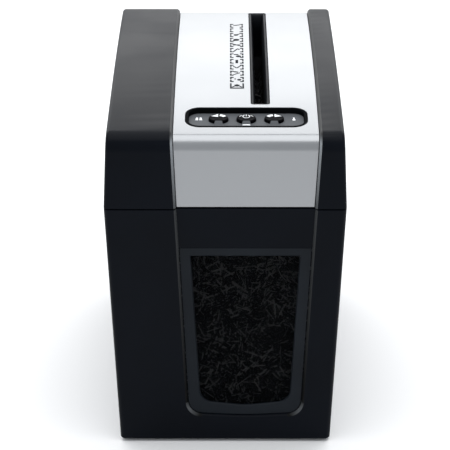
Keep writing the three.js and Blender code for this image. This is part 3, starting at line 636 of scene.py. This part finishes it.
# ---- Bin surfaces ----


def bin_half_width(z):
    return lerp(BIN_FOOT_HALF_WIDTH, SEAM_HALF_WIDTH, z / SEAM_Z)


def bin_half_depth(z):
    return lerp(BIN_FOOT_HALF_DEPTH, SEAM_HALF_DEPTH, z / SEAM_Z)


def bin_ring(inset, z, radius):
    """A rounded rectangle round the bin at a height, drawn in by an inset."""
    wide = bin_half_width(z) - inset
    deep = bin_half_depth(z) - inset
    return [(p.x, p.y, z) for p in fillet(rectangle(-wide, wide, -deep, deep, radius), 10)]


def on_front(x, z, depth):
    """A point on the bin's sloping front, depth behind its face."""
    return (x, depth - bin_half_depth(z), z)


def front_ring(outline, margin, depth):
    """An outline on the bin's front, grown by a margin, depth behind its face."""
    return [on_front(p.x, p.y, depth) for p in fillet(grown(outline, margin), 14)]


# ---- Bin ----

BIN_WALL = 2.5
BIN_CORNER = 4.0
BIN_FOOT_ROUND = 1.3
RIB_X, RIB_Y, RIB_Z = 86.2, 106, 172

# Outlines on the bin's front, as corners of (x, z, radius).
RECESS = [(-29.4, 25.4, 12), (16, 23, 260), (60.4, 25.4, 12), (68.8, 212, 0), (-37.7, 212, 0)]
WINDOW_FRAME = [(-28.6, 26.2, 11.4), (16, 23.8, 260), (59.6, 26.2, 11.4), (66.3, 174.2, 1),
                (-35.2, 174.2, 1)]
WINDOW_VIEW = [(-19.4, 36.4, 11), (16, 32.2, 60), (51, 36.4, 11), (57.2, 167, 0.6), (-26.5, 167, 0.6)]

# Their edges, as steps of (margin, depth).
LIP = ((3, -2), (1.5, -0.02), (1.0, 0.3), (0.3, 1.0), (-0.2, 1.8), (-0.4, 2.5))
FRAME_EDGE = ((-0.2, 2.8), (0, 3.0), (0, 4.8))
VIEW_EDGE = ((1.6, 1.5), (0.9, 2.78), (0.2, 3.5), (0, 4.1), (0, 6))
PANE_DEPTH = (5.1, 6.6)

# Where the painted glint on the recess's lower corners is brightest.
GLINT_MIDDLE, GLINT_ACROSS, GLINT_Z = 15.5, 42.2, 31
FEET = ("foot_front_left", "foot_front_right", "foot_back_left", "foot_back_right")


def lip_number(ring, side):
    """The material of the recess lip's faces: a painted glint at its two lower corners, plain between them,
    and a painted highlight that fades downwards on its sides.
    """
    if ring == 0 or 14 <= side < 30:
        return 0
    return 1 if side < 44 else 2


def bin_shell(materials):
    """The bin's moulded body: sloping walls, rounded edges, a recessed front band and a window opening."""
    low, turn = BIN_LO.z, BIN_FOOT_ROUND
    rings = []
    for k in range(7):
        angle = math.pi / 2 * k / 6
        rings.append(bin_ring(turn * (1 - math.sin(angle)), low + turn * (1 - math.cos(angle)), BIN_CORNER))
    for k in range(1, 9):
        rings.append(bin_ring(0, lerp(low + turn, SEAM_Z - 0.7, k / 8), BIN_CORNER))
    rings.append(bin_ring(0.25, SEAM_Z - 0.2, BIN_CORNER - 0.2))
    rings.append(bin_ring(0.7, SEAM_Z, BIN_CORNER - 0.6))
    shell = loft("bin_shell", rings)
    # The recess lip takes painted light: a painted glint at its lower corners and a fading painted highlight
    # on its sides.
    finishes = [materials[key] for key in ("shell", "glint", "lip")]
    paint(shell, *finishes)

    floor = low + BIN_WALL
    cavity = loft("cavity", [bin_ring(BIN_WALL, lerp(floor, SEAM_Z + 4, k / 6), 1.6) for k in range(7)])
    cut(cavity, prism("kept", fillet(grown(RECESS, BIN_WALL), 12), -1, 5, on_front))
    recess = loft("recess", [front_ring(RECESS, *step) for step in LIP], number=lip_number)
    opening = prism("opening", fillet(grown(WINDOW_FRAME, GAP), 10), 0, 10, on_front)
    cut(shell, cavity, recess, opening)
    for side in (-1, 1):
        for y in (-RIB_Y, RIB_Y):
            x = side * RIB_X
            join(shell, block("rib", (x - 3, x + 3), (y - 5, y + 5), (RIB_Z, HEAD_Z)))
    x, y, _ = plan("safety_plunger")
    tab_top = node_box("safety_plunger")[0].z - GAP
    join(shell, block("tab", (x - 3, x + 3), (y - 4, y + 4), (RIB_Z, tab_top)))
    soften(shell, 0.25)
    dress(shell, "bin", finishes[0], "bin_body", slot="black_shell", more=finishes[1:])


def window(materials):
    """The slate frame with its bevelled view, and the smoked pane behind it."""
    trim = loft("window_trim", [front_ring(WINDOW_FRAME, *step) for step in FRAME_EDGE])
    cut(trim, loft("hole", [front_ring(WINDOW_VIEW, *step) for step in VIEW_EDGE]))
    dress(trim, "bin", materials["slate"], "window_frame", slot="slate_plastic")
    pane = prism("window_glass", fillet(grown(WINDOW_VIEW, 3), 14), *PANE_DEPTH, on_front)
    soften(pane, 0.2)
    dress(pane, "bin", materials["window"], "window_pane", slot="smoked_window")


SHRED_SEED = 11
# light is the share of strips in plain paper; the rest are in painted shade.
WINDOW_SHREDS = {"count": 3600, "width": (0.7, 1.4), "length": (7, 15), "light": 0.3}
TOP_SHREDS = {"count": 2600, "width": (1.3, 2.4), "length": (8, 19), "light": 0.8}
SHRED_THICKNESS = 0.14
SHRED_ROOM = 14         # from the bin's side to the middle of a strip


def strip(rng, centre, facing, width, length):
    """Corner points of one thin paper strip, bowed and twisted, as rows of four round its section."""
    length = rng.uniform(*length)
    width = rng.uniform(*width)
    along = Vector((rng.gauss(0, 1), rng.gauss(0, 1), rng.gauss(0, 1)))
    along = (along - facing * along.dot(facing) * rng.uniform(0.6, 1.0)).normalized()
    side = facing.cross(along).normalized()
    up = along.cross(side)
    bow = rng.uniform(-0.22, 0.22) * length
    twist = rng.uniform(-1.0, 1.0)
    roll = rng.uniform(-1.2, 1.2)
    rows = []
    for k in range(4):
        t = k / 3 - 0.5
        angle = roll + twist * t
        flat = side * math.cos(angle) + up * math.sin(angle)
        thin = along.cross(flat)
        middle = centre + along * (t * length) + up * (bow * (0.25 - t * t) * 2) + side * (bow * t * t)
        for a, b in ((-1, -1), (1, -1), (1, 1), (-1, 1)):
            rows.append(middle + flat * (a * width / 2) + thin * (b * SHRED_THICKNESS / 2))
    return rows


def heap_top(y):
    """Height of the heap of shreds: piled against the front window, lower towards the back."""
    if y < -40:
        return lerp(168, 150, max(0, min((y + 90) / 50, 1)))
    return lerp(150, 80, min((y + 40) / 180, 1))


def shreds(materials):
    """Loose strips, light and in painted shade: behind the window and over the heap's top, on a lumpy core
    painted dark as shade.
    """
    rng = random.Random(SHRED_SEED)
    lo, hi = node_box("paper_shreds")
    points, faces, shaded = [], [], []

    def place(centre, facing, kind):
        base = len(points)
        first = len(faces)
        points.extend(strip(rng, centre, facing, kind["width"], kind["length"]))
        for k in range(3):
            for j in range(4):
                a, b = base + 4 * k + j, base + 4 * k + (j + 1) % 4
                faces.append((a, b, b + 4, a + 4))
        faces.append((base + 3, base + 2, base + 1, base))
        faces.append((base + 12, base + 13, base + 14, base + 15))
        if rng.random() > kind["light"]:
            shaded.extend(range(first, len(faces)))

    for _ in range(WINDOW_SHREDS["count"]):
        z = rng.uniform(14, 166)
        wide = bin_half_width(z) - SHRED_ROOM
        y = 12 - bin_half_depth(z) + rng.uniform(0, 1) ** 1.4 * 12
        x = rng.uniform(max(-wide, -42), min(wide, 74))
        place(Vector((x, y, z)), Vector((0, -1, 0.03)), WINDOW_SHREDS)
    for _ in range(TOP_SHREDS["count"]):
        y = rng.uniform(lo.y + 12, hi.y - 12)
        z = heap_top(y) - rng.uniform(0, 6) - 4
        wide = bin_half_width(z) - SHRED_ROOM
        place(Vector((rng.uniform(-wide, wide), y, z)), Vector((0, 0.2, 1)), TOP_SHREDS)
    loose = new_object("paper_strips", points, faces, dict.fromkeys(shaded, 1))
    dress(loose, "bin", materials["paper"], slot="shredded_paper", smooth=60, more=(materials["shade"],))

    rings = []
    wide = bin_half_width(80) - 7
    for k in range(13):
        y = lerp(lo.y + 16, hi.y - 4, k / 12)
        top = heap_top(y) - 9
        ring = []
        for j in range(24):
            angle = 2 * math.pi * j / 24
            x = math.copysign(abs(math.cos(angle)) ** 0.4, math.cos(angle))
            z = math.copysign(abs(math.sin(angle)) ** 0.4, math.sin(angle))
            lump = 1 - 0.03 * rng.random()
            ring.append((x * wide * lump, y, lerp(6, top, (z * lump + 1) / 2)))
        rings.append(ring)
    # The heap's lumpy core is painted near-black: painted shade between the strips.
    core = loft("paper_core_painted_shade", rings)
    dress(core, "bin", materials["core"], "paper_shreds", slot="shredded_paper", smooth=80)


def feet(materials):
    for node in FEET:
        x, y, radius = plan(node)
        top = node_box(node)[1].z
        profile = [(0, 0), (radius - 1.2, 0), (radius - 0.6, 0.15), (radius - 0.3, 0.5),
                   (radius - 0.2, top), (0, top)]
        foot = turned("rubber_" + node, profile, (x, y), 40)
        dress(foot, "bin", materials["rubber"], node, slot="rubber")


# ---- Head: covers ----

CHANNEL_LIP = 2.0
VENT_X = (-74, -68, -62, -56, -50)
VENT_Z = (224, 250)
BOSS_RADIUS = 3.2
BOSS_Z = (211.5, 228)
BORE_Z = (205, 224)


def tray_corners(margin):
    return grown(rectangle(TRAY_LO.x, TRAY_HI.x, TRAY_LO.y, TRAY_HI.y, TRAY_CORNER), margin + GAP)


def slot_corners(margin, radius=2.2, back=0.0):
    """The slot's outline, grown by a margin, with its back end drawn in."""
    low, high = SLOT_Y
    sides = rectangle(SLOT_X - SLOT_HALF_WIDTH, SLOT_X + SLOT_HALF_WIDTH, low, high - back, radius)
    return grown(sides, margin)


def channel_tool():
    """What is taken out of the shell for the silver panel, with the sloping lips along its two edges."""
    floor = PANEL_DROP + PANEL_WALL + GAP
    left, right = PANEL_EDGE_LEFT, PANEL_EDGE_RIGHT
    half = ((CHANNEL_LIP + 1.2, -1), (CHANNEL_LIP, 0), (0.45, 1.5), (0.25, 2.2), (0.25, floor))
    section = [(shifted(left, -half[0][0]), half[0][1])]
    section += [(shifted(right, out), depth) for out, depth in half]
    section += [(shifted(left, -out), depth) for out, depth in half[:0:-1]]
    return head_sweep("channel", section, HEAD_Z - 20, PANEL_BACK_Z - GAP, sides=(2, 3, 7, 8))


def cut_top_openings(cover, margin):
    """Cuts the paper slot and the control recess through a cover."""
    cut(cover, prism("slot", fillet(slot_corners(margin), 6), *THROUGH_TOP),
        prism("recess", fillet(tray_corners(margin), 12), *THROUGH_TOP))


def head_shell(materials):
    """The head's cover, with its channel, openings, vents and screw bosses."""
    shell = head_solid("head_shell", 0, 0, SIDE_ROUND, HEAD_Z)
    # The channel's sloping lips take the second material, a painted highlight.
    paint(shell, materials["shell"], materials["channel"])
    lowered = PANEL_DROP + PANEL_WALL + GAP + COVER_WALL
    cut(shell, channel_tool(), head_solid("cavity", lowered, COVER_WALL, 0, SEAM_Z - 12))
    cut_top_openings(shell, GAP)
    for x in VENT_X:
        outline = fillet(rectangle(x - 1.5, x + 1.5, *VENT_Z, 1.45), 6)
        cut(shell, prism("vent", outline, *THROUGH_BACK, along_y))
    cut(shell, rod("hole", GLAND_AXIS, GLAND_RADIUS + GAP, *THROUGH_BACK, 48, "y"))
    for node in SCREWS:
        x, y, _ = plan(node)
        web = block("web", sorted((x, x + math.copysign(4.5, x))), (y - 1.2, y + 1.2), BOSS_Z)
        join(shell, rod("boss", (x, y), BOSS_RADIUS, *BOSS_Z, 24), web)
        cut(shell, rod("bore", (x, y), BOSS_RADIUS / 2, *BORE_Z, 16))
    soften(shell, 0.22)
    dress(shell, "head", materials["shell"], "head_cover", slot="black_shell", more=(materials["channel"],))


def silver_panel(materials):
    """The satin band over the head, with rounded long edges."""
    left, right = shifted(PANEL_EDGE_LEFT, 0.05), shifted(PANEL_EDGE_RIGHT, -0.05)
    top, under, turn, steps = PANEL_DROP, PANEL_DROP + PANEL_WALL, 0.5, 14
    across = [tuple(lerp(a, b, k / steps) for a, b in zip(left, right)) for k in range(steps + 1)]
    section = [(x, under) for x in across]
    section += [(right, top + turn), (shifted(right, -0.15), top + 0.15), (shifted(right, -turn), top)]
    section += [(x, top) for x in across[-2:0:-1]]
    section += [(shifted(left, turn), top), (shifted(left, 0.15), top + 0.15), (left, top + turn)]
    panel = head_sweep("silver_panel", section, PANEL_LO.z, PANEL_BACK_Z)
    cut_top_openings(panel, 0)
    soften(panel, 0.25, 2, 50)
    dress(panel, "head", materials["silver"], "top_panel", slot="silver_panel")


# The throat from its rim down, as (margin, corner radius, how far its back end is drawn in, depth).
THROAT_STEPS = ((-0.3, 2.2, 0, 0.9), (-0.55, 2.2, 0, 0.45), (-0.8, 2.2, 0, 0.3), (-2.1, 2.2, 0, 0.55),
                (-2.6, 2.6, 0.6, 1.2), (-3.0, 2.6, 1.2, 3.2), (-3.3, 2.6, 1.8, 6.5), (-3.6, 2.6, 2.2, 10))
FLAG_WINDOW_Y = (0, 5)


def slot_throat(materials):
    """The paper slot's liner: flat rims, sides that curve in to a narrow nip, and a sloping back end."""
    bottom = THROAT_LO.z
    rings = [level(ring_on_panel(slot_corners(-GAP), 0), bottom)]
    for margin, radius, back, depth in THROAT_STEPS:
        rings.append(ring_on_panel(slot_corners(margin, radius, back), depth))
    nip = slot_corners(NIP_HALF_WIDTH - SLOT_HALF_WIDTH, 4.2, 2.4)
    rings.append(ring_on_panel(nip, 14))
    rings.append(level(ring_on_panel(nip, 0), bottom))
    throat = loft("slot_liner", rings, caps=False)
    cut(throat, block("flag_window", (SLOT_X - 10, SLOT_X), FLAG_WINDOW_Y, (bottom - 5, 246)))
    dress(throat, "head", materials["throat"], "slot_throat", slot="black_plastic")


def cord_grommet(materials):
    radius, front, back, bore = GLAND_RADIUS, GLAND_LO.y, GLAND_HI.y, 3.6
    profile = [(bore, front), (radius, front), (radius, back - 1.4), (radius - 0.3, back - 0.7),
               (radius - 0.9, back - 0.2), (radius - 1.6, back), (bore + 1.2, back),
               (bore + 0.5, back - 0.3), (bore, back - 1.0)]
    gland = turned("cord_grommet", profile, GLAND_AXIS, 48, "y")
    dress(gland, "head", materials["rubber"], "cord_gland", slot="rubber")


# ---- Head: controls ----

BUTTONS = ("reverse", "power", "forward")
BUTTON_FLANGE = 1.2
FLANGE_Z = 259.6
DISH_RADIUS = 6.6
DISH_DEPTH = 0.4

# A notch in each button's near side, and a tab in it, as (x, y, height over the recess floor).
NOTCH = ((-2.9, -4.3), (2.9, -4.3), (3.8, -9), (-3.8, -9))
TAB = ((-2.6, -4.8, 1.7), (2.6, -4.8, 1.7), (3.4, -8.3, 0.1), (-3.4, -8.3, 0.1))


def button_face(radius):
    """Height of a button's dished face below its rim, from its middle out."""
    t = min(radius / DISH_RADIUS, 1)
    return -DISH_DEPTH * (1 - t * t)


def button(key, materials):
    """One dished cap with its flange and guide pin. Returns its middle and its height."""
    node = "button_" + key
    x, y, flange = plan(node)
    top, low = node_box(node)[1].z, FLANGE_Z
    radius = flange - BUTTON_FLANGE
    profile = [(0, low - 1.3), (2, low - 1.3), (2, low), (flange, low), (flange, low + 1.5),
               (radius, low + 1.5), (radius, top - 0.9), (radius - 0.12, top - 0.5),
               (radius - 0.4, top - 0.2), (radius - 0.8, top)]
    for k in range(10, -1, -1):
        out = DISH_RADIUS * k / 10
        profile.append((out, top + button_face(out)))
    cap = turned("cap_" + key, profile, (x, y), 72)
    cut(cap, prism("notch", placed(NOTCH, x, y), 262, 270))
    soften(cap, 0.15)
    dress(cap, key + "_button", materials["gloss"], node, slot="gloss_black")
    return x, y, top


def decal(name, outlines, surface, body, material, slot, rise=0.12, sink=0.3, most=0.8):
    """Thin raised print: closed prisms over flat outlines, whose tops follow a surface(x, y)."""
    made = bmesh.new()
    for outline in outlines:
        corners = [made.verts.new((p[0], p[1], 0)) for p in outline]
        made.faces.new(corners)
    made.normal_update()
    bmesh.ops.triangulate(made, faces=made.faces)
    for _ in range(4):
        long = [edge for edge in made.edges if edge.calc_length() > most]
        if not long:
            break
        bmesh.ops.subdivide_edges(made, edges=long, cuts=1, use_grid_fill=False)
        bmesh.ops.triangulate(made, faces=made.faces)
    bmesh.ops.recalc_face_normals(made, faces=made.faces)
    flipped = [face for face in made.faces if face.normal.z < 0]
    bmesh.ops.reverse_faces(made, faces=flipped)
    lift = bmesh.ops.extrude_face_region(made, geom=list(made.faces))["geom"]
    raised = {item for item in lift if isinstance(item, bmesh.types.BMVert)}
    for vertex in made.verts:
        height = surface(vertex.co.x, vertex.co.y)
        vertex.co.z = height + (rise if vertex in raised else -sink)
        vertex.co *= MM
    bmesh.ops.recalc_face_normals(made, faces=made.faces)
    mesh = bpy.data.meshes.new(name)
    made.to_mesh(mesh)
    made.free()
    dress(add_object(name, mesh), body, material, slot=slot, smooth=30)


def arc_band(centre, inner, outer, start, end, steps=14):
    """A band along an arc, as one outline. Angles are in degrees from +X, anticlockwise."""
    angles = [math.radians(a) for a in steps_between(start, end, steps)]
    return arc(centre, outer, angles) + arc(centre, inner, reversed(angles))


def print_on_buttons(places, materials):
    """An arrow with a bent tail on each outer button, and a ring, bar and wings on the middle one."""
    shapes = {}
    for key, mirror, bend in (("reverse", 1, (28, 80)), ("forward", -1, (100, 152))):
        head = [(-mirror * 5.8, 2.6), (-mirror * 0.3, 1.9), (-mirror * 0.3, 6.5)]
        shapes[key] = [head, arc_band((0, -0.6), 3.9, 6.6, *bend)]
    shapes["power"] = [arc_band((0, 2.6), 2.3, 2.95, 118, 422, 24),
                       [(-0.3, 2.8), (0.3, 2.8), (0.3, 5.8), (-0.3, 5.8)],
                       arc_band((0, -0.6), 5.5, 6.0, 26, 56), arc_band((0, -0.6), 5.5, 6.0, 124, 154)]
    for key, outlines in shapes.items():
        x, y, top = places[key]

        def surface(px, py, x=x, y=y, top=top):
            return top + button_face(math.hypot(px - x, py - y))

        decal("print_" + key, [placed(outline, x, y) for outline in outlines], surface, key + "_button",
              materials["white"], "white_lens")


def buttons(materials):
    places = {key: button(key, materials) for key in BUTTONS}
    print_on_buttons(places, materials)


RIM_PIECES = (16, 6)
RIM_STEPS = ((-0.3, 0.5), (-0.55, 0.1), (-0.9, 0))      # margin and depth of the rim, from its outside


def control_recess(materials):
    """The control recess: a glossy black wall inside the silver panel, and a level grey floor."""
    floor = TRAY_FLOOR_Z
    inner = [(x, y + 0.7, radius) for x, y, radius in tray_corners(0)]
    rim = [level(ring_on_panel(tray_corners(-GAP), 0, RIM_PIECES), floor - 2)]
    rim += [ring_on_panel(tray_corners(margin), depth, RIM_PIECES) for margin, depth in RIM_STEPS]
    for margin, depth in ((-2.2, 0.1), (-2.7, 0.6)):
        rim.append(ring_on_panel(grown(inner, margin), depth, RIM_PIECES))
    for z in (floor + 0.3, floor - 2):
        rim.append(level(ring_on_panel(grown(inner, -2.9), 0, RIM_PIECES), z))
    wall = loft("recess_wall", rim, caps=False)
    dress(wall, "head", materials["rim"], "control_tray", slot="gloss_black")

    plate = prism("recess_floor", fillet(grown(inner, -2.95), 12), floor - 2, floor)
    for key in BUTTONS:
        x, y, flange = plan("button_" + key)
        cut(plate, rod("hole", (x, y), flange - BUTTON_FLANGE + GAP, 250, 290))
    lo, hi = node_box("power_light")
    cut(plate, block("hole", (lo.x - 0.2, hi.x + 0.2), (lo.y - 0.2, hi.y + 0.2), (250, 290)))
    for key in BUTTONS:
        x, y, _ = plan("button_" + key)
        foot = [(x + a, y + b, floor - 1.2) for a, b, _ in TAB]
        top = [(x + a, y + b, floor + rise) for a, b, rise in TAB]
        join(plate, loft("tab", [foot, top]))
    soften(plate, 0.18)
    dress(plate, "head", materials["tray"], "control_tray", slot="tray_grey")


def bar_between(a, b, width):
    a, b = Vector(a), Vector(b)
    across = (b - a).normalized()
    across = Vector((-across.y, across.x)) * width / 2
    return [tuple(a - across), tuple(b - across), tuple(b + across), tuple(a + across)]


def disc(centre, radius, steps=14):
    return arc(centre, radius, [2 * math.pi * k / steps for k in range(steps)])


# Two bins, and a thermometer's bulb and stem.
LENS_MARKS = {
    "lens_bin_full": [[(-2.7, -2.6), (-0.4, -2.6), (-0.7, 2.6), (-2.0, 2.6)],
                      [(0.4, -2.6), (2.7, -2.6), (2.0, 2.6), (0.7, 2.6)]],
    "lens_overheat": [disc((0, -1.8), 1.3, 20), [(-0.6, -0.5), (0.6, -0.5), (0.6, 2.6), (-0.6, 2.6)]],
}


def lights(materials):
    """The light bar under the power button, and the two round indicators with their printed signs."""
    lo, hi = node_box("power_light")
    bar = prism("light_bar", fillet(rectangle(lo.x, hi.x, lo.y, hi.y, 0.75), 6), lo.z, hi.z)
    soften(bar, 0.2)
    dress(bar, "head", materials["lens"], "power_light", slot="white_lens")
    top = TRAY_FLOOR_Z + 0.04
    for node in LENS_MARKS:
        low = node_box(node)[0].z
        x, y, radius = plan(node)
        profile = [(0, low), (radius, low), (radius, TRAY_FLOOR_Z - 0.05),
                   (radius - 0.2, TRAY_FLOOR_Z + 0.02), (0, top)]
        cap = turned("dark_" + node, profile, (x, y), 32)
        dress(cap, "head", materials["tray"], node, slot="white_lens")
        marks = [placed(mark, x, y) for mark in LENS_MARKS[node]]
        decal("mark_" + node, marks, lambda px, py: top, "head", materials["white"], "white_lens", rise=0.1)


# ---- Pictograms along the slot ----

SIGN_X = (3.6, 14.6)
SIGN_Y = (-51.7, 105.3)
SIGN_GAP = 2.7
THIN, THICK = 1.25, 2.0      # strokes along Y, and along X

# The mark in each sign: a disc (x, y, radius), an arc (x, y, inner, outer) or a bar (x, y, x, y, width).
MARKS = (
    ((0, -3.6, 3.2, 4.4), (0, -1, 0, 3.4, 1.2), (-2, 1.6, 2, 1.6, THICK)),
    ((1.8, -0.6, 1.7), (-2, 1, -0.8, 1, THICK)),
    ((-2.6, -3, 2.6, 1, THIN), (-2.6, 3.4, 1, 2, THICK)),
    ((-3, 2, 0, -2, THIN), (0, -2, 3, 3, THIN)),
    ((0, 3, 0, -4.4, 2.2),),
    ((1.4, -1.6, 2.2), (-2.4, 2.6, 1.4, 2.6, THICK)),
    ((-2.6, -3.6, 1, 4, THIN), (0.6, 3.4, 2.4, 1, THIN)),
    ((-2, 0.4, 1.7), (1.8, -0.6, 1.7), (-2, 0, 2, 0, THICK)),
    ((-0.2, 0, 2.6), (-3, -2.6, 0, -1, THICK)),
    ((-0.6, 0, 2.0), (0.4, 0.6, 2.6, 3.4, 1.3)),
    (),
    ((-2.6, 1, 2.6, 2.6, THICK),),
)


def drawn(mark, x, y):
    """The outline of one part of a sign's mark, round the sign's middle."""
    centre = (x + mark[0], y + mark[1])
    if len(mark) == 3:
        return disc(centre, mark[2])
    if len(mark) == 4:
        return arc_band(centre, mark[2], mark[3], 15, 165)
    return bar_between(centre, (x + mark[2], y + mark[3]), mark[4])


def sign(index, low, high):
    """One plain pictogram: four corner brackets, which meet on the first sign, round a simple mark."""
    left, right = SIGN_X
    full = index == 0
    reach_x, reach_y = ((right - left) / 2, high - low) if full else (2.9, 4.5)
    shapes = []
    for inward, edge_x in ((1, left), (-1, right)):
        for up, edge_y in ((1, low), (-1, high)):
            if full and up < 0:
                continue
            far_x, far_y = edge_x + inward * reach_x, edge_y + up * reach_y
            near_x, near_y = edge_x + inward * THIN, edge_y + up * THICK
            shapes.append([(edge_x, edge_y), (far_x, edge_y), (far_x, near_y), (near_x, near_y),
                           (near_x, far_y), (edge_x, far_y)])
    shapes += [drawn(mark, (left + right) / 2, (low + high) / 2) for mark in MARKS[index]]
    return shapes


def pictograms(materials):
    pitch = (SIGN_Y[1] - SIGN_Y[0]) / len(MARKS)
    outlines = []
    for k in range(len(MARKS)):
        low = SIGN_Y[0] + k * pitch
        outlines += sign(k, low, low + pitch - SIGN_GAP)
    decal("panel_print", outlines, lambda x, y: panel_surface(y), "head", materials["ink"],
          "black_plastic", rise=0.05, sink=0.2, most=4)


# ---- Inside the head ----

CUTTER_RADIUS = 17
SPACER_RADIUS = 11
SHAFT_RADIUS = 6
DISC_WIDTH = 4.4
DISC_PITCH = 9.6
DISC_START_Y = -90.6
DISC_TEETH = 9
TOOTH_HEIGHT = 2.6
CUTTERS = (("cutter_left", "left_cutter", 0.0, 23), ("cutter_right", "right_cutter", DISC_PITCH / 2, 22))


def cutting_disc(axis, y, phase):
    """One cutting disc: a round blade with hooked teeth round its rim."""
    step = 2 * math.pi / DISC_TEETH
    outline = []
    for k in range(DISC_TEETH):
        start = phase + step * k
        outline.append((CUTTER_RADIUS - TOOTH_HEIGHT, start))
        outline.append((CUTTER_RADIUS - 0.05, start + 0.03 * step))
        for j in range(1, 6):
            outline.append((CUTTER_RADIUS - 0.1 - 1.0 * j / 5, start + (0.03 + 0.8 * j / 5) * step))
        outline.append((CUTTER_RADIUS - TOOTH_HEIGHT, start + 0.9 * step))
    points = [(axis[0] + r * math.cos(a), axis[1] + r * math.sin(a)) for r, a in outline]
    return prism("disc", points, y, y + DISC_WIDTH, along_y)


def cutters(materials):
    """The two cutter shafts: a stepped core with toothed discs along it."""
    for node, body, offset, count in CUTTERS:
        lo, hi = node_box(node)
        axis = ((lo.x + hi.x) / 2, (lo.z + hi.z) / 2)
        start = DISC_START_Y + offset
        first, last = start - 1, start + (count - 1) * DISC_PITCH + DISC_WIDTH + 1
        profile = [(0, lo.y), (SHAFT_RADIUS - 0.8, lo.y), (SHAFT_RADIUS, lo.y + 0.8), (SHAFT_RADIUS, first),
                   (SPACER_RADIUS, first), (SPACER_RADIUS, last), (SHAFT_RADIUS, last),
                   (SHAFT_RADIUS, hi.y - 0.8), (SHAFT_RADIUS - 0.8, hi.y), (0, hi.y)]
        core = turned("toothed_" + node, profile, axis, 48, "y")
        for k in range(count):
            join(core, cutting_disc(axis, start + k * DISC_PITCH, 0.35 * k))
        soften(core, 0.15, 1)
        dress(core, body, materials["cutter"], node, slot="cutter_steel", smooth=30)


CARRIED = {
    "plastic": ("head_base", "motor_end_cap", "sensor_flag", "sensor_switch", "safety_switch"),
    "board": ("control_board", "power_board"),
    "steel": ("frame_plate_front", "frame_plate_back", "gear_plate", "tie_rod_lower_left",
              "tie_rod_lower_right", "tie_rod_upper_left", "tie_rod_upper_right", "gear_pin_first",
              "gear_pin_second", "motor_can", "sync_gear_left", "sync_gear_right", "drive_gear", *SCREWS),
    "cutter": ("motor_rotor",),
    "bronze": ("bush_front_left", "bush_back_left", "bush_front_right", "bush_back_right", "motor_pinion"),
    "nylon": ("reduction_gear_first", "reduction_gear_second", "stripper_left", "stripper_right",
              "safety_plunger"),
}


def dress_carried(materials):
    """CAD pieces whose shape is right keep it, with a fine material and slightly rounded edges."""
    for kind, nodes in CARRIED.items():
        for name in nodes:
            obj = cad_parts[name]
            obj.data.materials.clear()
            obj.data.materials.append(materials[kind])
            soften(obj, 0.25, 2, 40)
            normals = obj.modifiers.new("weighted", "WEIGHTED_NORMAL")
            normals.keep_sharp = True


def main():
    build_stage()
    materials = make_materials()
    for build in (bin_shell, window, shreds, feet, head_shell, silver_panel, slot_throat, cord_grommet,
                  control_recess, buttons, lights, pictograms, cutters, dress_carried):
        build(materials)


main()
